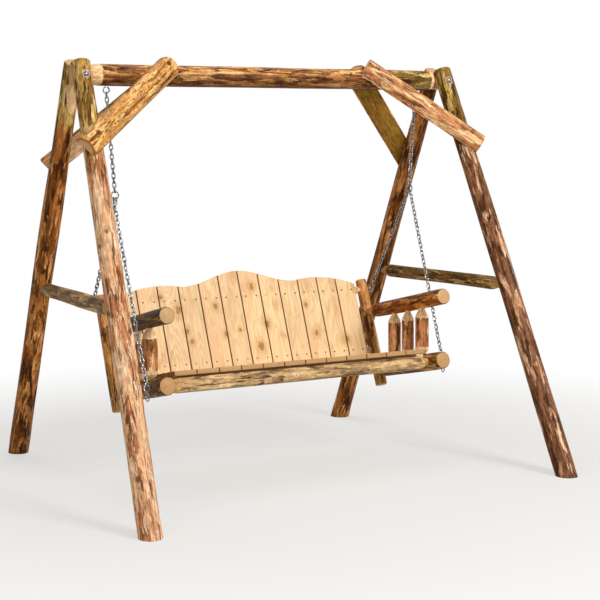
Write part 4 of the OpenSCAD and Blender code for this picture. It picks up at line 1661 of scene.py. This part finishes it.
@dataclass
class BenchSides:
    """Side rails, posts, arms and spindles.

    Attributes:
        groups: Shared node groups.
        cone_in: Length of a rail's or arm's cone that is inside the post.
        rail_cone: Length of a rail's cone.
        arm_cone: Length of an arm's cone.
        taper: How much thinner the arms' and posts' far ends are.
        spindles: Number of spindles under an arm.
        spindle_cones: Lengths of a spindle's lower and upper cone.
    """

    groups: Groups
    cone_in: float = 0.005
    rail_cone: float = 0.048
    arm_cone: float = 0.062
    taper: float = 0.003
    spindles: int = 3
    spindle_cones: tuple[float, float] = (0.022, 0.034)

    def at(self, right: bool, depth: float, height: float) -> np.ndarray:
        """Point of a bench side."""
        return SIZE.bench_at + [SIZE.side_x * (1 if right else -1), depth, height]

    def log(self, name: str, patches: list[Patch], finish: LogFinish) -> None:
        """Hands logs of the bench to the frame as one piece."""
        log_piece(name, patches, finish, self.groups, Body.BENCH)

    def ended(self, name: str, start: np.ndarray, end: np.ndarray, radii: tuple[float, float], cone: float,
              finish: LogFinish, seed: int) -> None:
        """Builds a log with one plain end and one tenon that goes into a post.

        Args:
            name: Name of its node.
            start: Plain end.
            end: End of the tenon.
            radii: Radius at the plain end and before the cone.
            cone: Length of the cone.
            finish: Its finish.
            seed: Seed of its unevenness.
        """
        length = float(np.linalg.norm(end - start))
        tenon = SIZE.tenon_in + SIZE.post_r / math.cos(SIZE.joint_lean) + self.cone_in
        outline = ((0.0, radii[0] - SIZE.bevel), (SIZE.bevel * 0.4, radii[0] - SIZE.bevel * 0.4),
                   (SIZE.bevel, radii[0]), *far_pencil(length, tenon, cone, SIZE.side_tenon_r, radii[1]))
        bare = length - tenon
        peeled = ((0.0, 0.0), (bare - cone * 1.1, 0.0), (bare - cone * 0.8, 1.0), (length, 1.0))
        shape = LogShape(start, end, outline, peeled, seed=seed, sway=0.0)
        self.log(name, [shape.patch(0.006)], finish)

    def post(self, right: bool) -> None:
        """Builds a back post, plain at both ends.

        Args:
            right: Whether it is on the right.
        """
        length, top_r = SIZE.post_len, SIZE.post_r - 0.002
        outline = ((0.0, SIZE.post_r - SIZE.bevel), (SIZE.bevel, SIZE.post_r),
                   (length - SIZE.bevel, top_r), (length, top_r - SIZE.bevel))
        shape = LogShape(self.at(right, *SIZE.post_point(length)), self.at(right, *SIZE.post_top), outline,
                         ((0.0, 0.0), (length, 0.0)), seed=65 + right, sway=0.0)
        self.log(f"back_post_{SIDES[right]}", [shape.patch(0.006)],
                 LogFinish(Wood.NUT, Wood.TAN, (0.2, 0.35), 0.36, seed=25.0 + right, radius=SIZE.post_r))

    def spindle(self, right: bool, number: int) -> Patch:
        """Works out an upright spindle between a rail and an arm.

        Args:
            right: Whether it is on the right.
            number: Its place from the front, from 0.

        Returns:
            Its surface.
        """
        y = SIZE.spindle_first + number * SIZE.spindle_pitch
        low = -y * math.tan(SIZE.slope) + SIZE.tenon_in
        high = SIZE.arm_rise - y * math.tan(SIZE.slope) - SIZE.tenon_in
        rise = SIZE.spindle_tenon_r * math.tan(SIZE.slope) + MM
        tenons = tuple(r / math.cos(SIZE.slope) + rise - SIZE.tenon_in for r in (SIZE.rail_r, SIZE.arm_r))
        shape = tenoned(self.at(right, y, low), self.at(right, y, high), SIZE.spindle_r, tenons,
                        self.spindle_cones, SIZE.spindle_tenon_r, past=(1.6, 1.05),
                        seed=71 + number + 3 * right, sway=0.0)
        patch = shape.patch(0.005, 32)
        patch.grain[:, 2] += number * 0.7  # another stretch of the pattern for each
        return patch

    def side(self, right: bool) -> None:
        """Builds the logs of one side.

        Args:
            right: Whether it is the right one.
        """
        name = SIDES[right]
        end = self.at(right, *SIZE.rail_point(SIZE.rail_len + SIZE.tenon_in))
        self.ended(f"side_rail_{name}", self.at(right, 0, 0), end, (SIZE.rail_r, SIZE.rail_r), self.rail_cone,
                   LogFinish(Wood.NUT, bark=0.6, seed=21.0 + right, radius=SIZE.rail_r, face="c8a070",
                             peel="b5814a"), 61 + right)
        depth, fall = SIZE.rail_point(SIZE.arm_len + SIZE.tenon_in)
        # the left arm's darker, greyer colours are painted shade
        self.ended(f"arm_{name}", self.at(right, 0, SIZE.arm_rise), self.at(right, depth, SIZE.arm_rise + fall),
                   (SIZE.arm_r, SIZE.arm_r - self.taper), self.arm_cone,
                   LogFinish(Wood.CHESTNUT if right else Wood.SHADE_DARKENED, bark=0.6, seed=23.0 + right,
                             radius=SIZE.arm_r, face="d0ab7c", peel="b07a42"), 63 + right)
        self.post(right)
        self.log(f"spindles_{name}", [self.spindle(right, number) for number in range(self.spindles)],
                 LogFinish(Wood.APRICOT, bark=0.6, seed=27.0 + right, peel="e8c698"))

    def build(self) -> None:
        """Builds both sides."""
        for right in (False, True):
            self.side(right)


@dataclass
class Boarding:
    """Boards, their screws and the logs that carry them, on one slope: what the seat and the back share.

    Attributes:
        groups: Shared node groups.
        steel: Finish of the screws.
        lean: Turn of the slope about x, in degrees.
        origin: Place of the slope's own origin.
        stand_off: Gap between the boards and what they lie on.
        screw_side: Distance of a board's screws from its middle.
    """

    groups: Groups
    steel: bpy.types.Material
    lean: float = 0.0
    origin: np.ndarray = field(default_factory=lambda: np.zeros(3))
    stand_off: float = 0.0001
    screw_side: float = 0.027

    def placed(self, points: np.ndarray) -> np.ndarray:
        """Points of the slope, in the frame's coordinates."""
        return turned(points, turn_x(self.lean), self.origin)

    def laid(self, x: np.ndarray, out: np.ndarray, along: np.ndarray) -> np.ndarray:
        """Points of a board on the slope, from its width, thickness and length; each boarding has its own."""
        raise NotImplementedError

    def cross_log(self, depth: float, height: float, r: float, tenon: float, cone: float, tenon_r: float,
                  seed: int) -> LogShape:
        """Log across the bench, tenoned into both sides.

        Args:
            depth: Place on the slope, across it.
            height: Place on the slope, off it.
            r: Its radius.
            tenon: Length of its tenons.
            cone: Length of its cones.
            tenon_r: Radius of its tenons.
            seed: Seed of its unevenness.

        Returns:
            The log.
        """
        half = SIZE.side_x + SIZE.tenon_in
        start, end = self.placed(np.array([[-half, depth, height], [half, depth, height]]))
        return tenoned(start, end, r, (tenon, tenon), (cone, cone), tenon_r, seed=seed, sway=0.0)

    def board(self, name: str, index: int, thick: float, ends: tuple[np.ndarray, np.ndarray], xs: np.ndarray,
              grain_shift: Point, tone: float, material: bpy.types.Material) -> None:
        """Builds a board and moves it to its place.

        Args:
            name: Name of its node, without the number.
            index: Its place from the left, from 0.
            thick: Its thickness.
            ends: Where it starts and ends, at each of xs.
            xs: Places across it.
            grain_shift: Place of its own grain.
            tone: How much lighter it is than the others.
            material: Its finish.
        """
        points, quads = plank(SIZE.board_w, thick, *ends, xs)
        x = points[:, 0] + SIZE.board_x(index)
        cuts = np.stack([x, points[:, 2], np.full(len(x), tone)], axis=1)
        flat = np.stack([2 * points[:, 0] / SIZE.board_w, end_cut(points[:, 2]), 0 * x], axis=1)
        laid = self.placed(self.laid(x, points[:, 1], points[:, 2]))
        node = f"{name}_{index + 1}"
        patch = plain_patch(laid, quads, points + grain_shift, cuts, flat)
        add_piece(f"pine_{node}", [patch], material, Body.BENCH, (node,), sharp=60)

    def screws(self, name: str, rows: tuple[Point, ...], turn: np.ndarray) -> None:
        """Puts two screws through each board in each row.

        Args:
            name: Name of the piece.
            rows: Middle of each row, on the slope.
            turn: Matrix that turns +Z to the way that the heads face.
        """
        head, quads = screw_head()
        xs = [SIZE.board_x(index) + side * self.screw_side
              for index in range(SIZE.board_count) for side in (-1, 1)]
        heads = [plain_patch(self.placed(turned(head, turn, np.add(row, [x, 0, 0]))), quads)
                 for row in rows for x in xs]
        add_piece(name, heads, self.steel, Body.BENCH, sharp=30)


@dataclass
class Seat(Boarding):
    """Front rail, cleats and slats."""

    lean: float = -SIZE.seat_slope
    origin: np.ndarray = field(default_factory=lambda: SIZE.bench_at)
    rail_cone: float = 0.040
    knots: tuple[tuple[float, float, float], ...] = (
        (-0.31, 0.2, 0.013), (0.18, 0.36, 0.011), (0.43, 0.15, 0.01))

    def laid(self, x: np.ndarray, out: np.ndarray, along: np.ndarray) -> np.ndarray:
        """Points of a slat: its length runs down the slope and its thickness stands on the cleats."""
        thick = SIZE.slat_t - self.stand_off
        return np.stack([x, along, -out + SIZE.slat_rise + self.stand_off + thick / 2], axis=1)

    def slat(self, index: int, material: bpy.types.Material) -> None:
        """Builds a slat.

        Args:
            index: Its place from the left, from 0.
            material: Its finish.
        """
        grain_x, grain_z, grain_y, tone = np.random.default_rng(200 + index).uniform(
            [-0.03, 0, 0.01, -0.08], [0.03, 4, 0.06, 0.06])
        xs = np.linspace(-SIZE.board_w / 2, SIZE.board_w / 2, 9)
        ends = (np.full(9, SIZE.slat_in), np.full(9, SIZE.slat_in + SIZE.slat_len))
        self.board("seat_slat", index, SIZE.slat_t - self.stand_off, ends, xs,
                   (grain_x, grain_y, grain_z), tone, material)

    def build(self) -> None:
        """Builds the front rail, the slats and their screws, and dresses the cleats."""
        rail = self.cross_log(SIZE.front_rail_in, 0, SIZE.front_rail_r, SIZE.tenon_in + SIZE.rail_r + 3 * MM,
                              self.rail_cone, SIZE.front_tenon_r, 81)
        log_piece("front_rail", [rail.patch()], LogFinish(Wood.DRIFT, bark=0.45, seed=30.0, peel="cba668"),
                  self.groups, Body.BENCH)
        pine = PineFinish("pine_seat", self.knots).build(self.groups)
        over = SIZE.slat_rise + SIZE.slat_t
        self.screws("seat_screws", ((0, SIZE.slat_in + SIZE.cleat_in, over),
                                    (0, SIZE.slat_in + SIZE.slat_len - SIZE.cleat_in, over)), np.eye(3))
        for index in range(SIZE.board_count):
            self.slat(index, pine)
        for end in ENDS:
            dress(f"seat_cleat_{end}", pine)


@dataclass
class Back(Boarding):
    """Back rails and scalloped boards."""

    lean: float = -SIZE.back_lean
    origin: np.ndarray = field(default_factory=lambda: SIZE.bench_at + [0, *SIZE.post_top])
    rail_cone: float = 0.036
    knots: tuple[tuple[float, float, float], ...] = (
        (-0.40, -0.03, 0.010), (-0.325, -0.095, 0.017), (-0.30, -0.195, 0.012), (-0.285, -0.245, 0.011),
        (-0.14, -0.088, 0.012), (-0.11, -0.222, 0.010), (-0.035, -0.207, 0.007), (0.062, -0.008, 0.014),
        (0.057, -0.290, 0.018), (0.108, -0.187, 0.015), (0.33, -0.11, 0.010), (0.36, -0.25, 0.012),
        (0.52, -0.29, 0.013), (-0.50, -0.16, 0.010))

    def laid(self, x: np.ndarray, out: np.ndarray, along: np.ndarray) -> np.ndarray:
        """Points of a back board: its length runs up the slope and its thickness stands before the rails."""
        thick = SIZE.back_t - self.stand_off
        return np.stack([x, out - SIZE.back_set - self.stand_off - thick / 2, along], axis=1)

    def rail(self, name: str, down: float, seed: int) -> None:
        """Builds a back rail, its front sawn flat for the boards.

        Args:
            name: Name of its node.
            down: Distance below the posts' tops.
            seed: Seed of its unevenness.
        """
        tenon = SIZE.tenon_in + SIZE.post_r + 2 * MM
        shape = self.cross_log(0, -down, SIZE.back_rail_r, tenon, self.rail_cone, SIZE.back_tenon_r, seed)
        patch = shape.patch()
        front = turn_x(self.lean)[:, 1]
        over = np.minimum((patch.points - shape.start) @ front + SIZE.back_set, 0)
        over[np.abs(patch.points[:, 0]) > abs(shape.start[0]) - tenon] = 0
        patch.points -= over[:, None] * front
        log_piece(name, [patch], LogFinish(Wood.RUSSET, seed=float(seed)), self.groups, Body.BENCH)

    def back_board(self, index: int, material: bpy.types.Material) -> None:
        """Builds a back board, its top cut to the scalloped edge.

        Args:
            index: Its place from the left, from 0.
            material: Its finish.
        """
        grain_x, grain_y, grain_z, tone = np.random.default_rng(300 + index).uniform(
            [-0.03, 0.01, 0, -0.09], [0.03, 0.05, 4, 0.07])
        xs = np.linspace(-SIZE.board_w / 2, SIZE.board_w / 2, 25)
        ends = (np.full(25, -SIZE.board_down), SIZE.top_edge(xs + SIZE.board_x(index)))
        self.board("back_board", index, SIZE.back_t - self.stand_off, ends, xs,
                   (grain_x, grain_y, grain_z), tone, material)

    def build(self) -> None:
        """Builds the rails, the boards and their screws."""
        self.rail("back_rail_upper", SIZE.upper_rail_down, 91)
        self.rail("back_rail_lower", SIZE.lower_rail_down, 92)
        pine = PineFinish("pine_back", self.knots).build(self.groups)
        ahead = -SIZE.back_set - SIZE.back_t
        rows = tuple((0, ahead, -down) for down in (SIZE.upper_rail_down, SIZE.lower_rail_down))
        self.screws("back_screws", rows, turn_x(90))
        for index in range(SIZE.board_count):
            self.back_board(index, pine)


@dataclass
class Studio:
    """Camera, white floor and backdrop, and soft lamps."""

    place: Point = (-3.1978, -5.7664, 1.4591)
    yaw: float = -30.1300
    pitch: float = -6.2218
    roll: float = -0.2136
    lens: float = 90.088
    sensor: float = 36.0
    aim: Point = (0.0, 0.0, 0.9)
    floor_reach: float = 60.0
    floor_colour: str = "cfccc6"
    world_colour: str = "f6efe4"
    world_light: float = 0.36

    def camera(self) -> None:
        """Sets the camera: its axes are worked out from yaw, pitch and roll."""
        yaw, pitch, roll = (math.radians(v) for v in (self.yaw, self.pitch, self.roll))
        ahead = np.array([-math.sin(yaw) * math.cos(pitch), math.cos(yaw) * math.cos(pitch), math.sin(pitch)])
        right = np.array([math.cos(yaw), math.sin(yaw), 0.0])
        up = np.cross(right, ahead)
        data = bpy.data.cameras.new("camera")
        data.sensor_width = self.sensor
        data.lens = self.lens
        camera = into_scene("camera", data)
        matrix = np.eye(4)
        matrix[:3] = np.stack([right * math.cos(roll) + up * math.sin(roll),
                               up * math.cos(roll) - right * math.sin(roll), -ahead, self.place], axis=1)
        camera.matrix_world = Matrix(matrix.tolist())
        bpy.context.scene.camera = camera

    def stage(self) -> None:
        """Lays the floor: shaded where the swing stands, and plain white to the camera further out."""
        mesh = bpy.data.meshes.new("floor")
        corners = [(x * self.floor_reach, y * self.floor_reach, 0)
                   for x, y in ((-1, -1), (1, -1), (1, 1), (-1, 1))]
        mesh.from_pydata(corners, [], [(0, 1, 2, 3)])
        floor = into_scene("floor", mesh)
        material, w, shader = start_material("floor")
        w.fill(shader, Base_Color=hex_colour(self.floor_colour), Roughness=0.9, Specular_IOR_Level=0.0)
        plain = w.fill(w.add("ShaderNodeEmission"), Color=(1, 1, 1, 1))
        away = w.add("ShaderNodeVectorMath", operation="LENGTH")
        w.fill(away, w.objects())
        share = w.step(away.outputs["Value"], 1.2, 3.4) * 0.42 + 0.58
        w.fill(material.node_tree.nodes["Material Output"], Surface=w.behind(shader.outputs[0], plain, share))
        floor.data.materials.append(material)

    def lamp(self, name: str, place: Point, size: float, power: float, colour: Colour) -> None:
        """Adds a square soft lamp that faces the bench.

        Args:
            name: Its name.
            place: Where it stands.
            size: Length of its sides.
            power: Its power in watts.
            colour: Colour of its light.
        """
        data = bpy.data.lights.new(name, "AREA")
        data.size, data.energy, data.color = size, power, colour
        lamp = into_scene(name, data)
        lamp.location = place
        lamp.rotation_euler = (Vector(self.aim) - Vector(place)).to_track_quat("-Z", "Y").to_euler()

    def world(self) -> None:
        """Soft pale world, seen as plain white by the camera and by reflections."""
        world = bpy.data.worlds.new("world")
        bpy.context.scene.world = world
        world.use_nodes = True
        w = Wiring(world.node_tree)
        nodes = world.node_tree.nodes
        soft = w.fill(nodes["Background"], Color=hex_colour(self.world_colour), Strength=self.world_light)
        seen = w.fill(w.add("ShaderNodeBackground"), Color=(1, 1, 1, 1))
        w.fill(nodes["World Output"], Surface=w.behind(soft, seen))

    def build(self) -> None:
        """Sets up the whole studio."""
        bpy.context.scene.view_settings.view_transform = "Standard"
        self.camera()
        self.stage()
        self.world()
        self.lamp("key", (1.6, -6.1, 4.2), 2.0, 375.0, (1.0, 0.98, 0.95))
        self.lamp("fill", (-5.0, -4.0, 2.4), 3.0, 70.0, (1.0, 0.98, 0.96))
        self.lamp("top", (0.0, 1.0, 5.5), 3.0, 90.0, (1.0, 1.0, 1.0))


def main() -> None:
    """Builds the studio and every sub-assembly."""
    logging.basicConfig(level=logging.INFO, format="%(message)s")
    Studio().build()
    groups = Groups(bark_group(), end_group(), pine_group(), knot_group())
    AFrame(groups).build()
    Chains(ZincFinish().build()).build()
    BenchSides(groups).build()
    bronze = ZincFinish("bronzed_screws", "7d6848", "4a3a26").build()
    Seat(groups, bronze).build()
    Back(groups, bronze).build()
    bpy.context.view_layer.update()


if __name__ == "__main__":
    main()
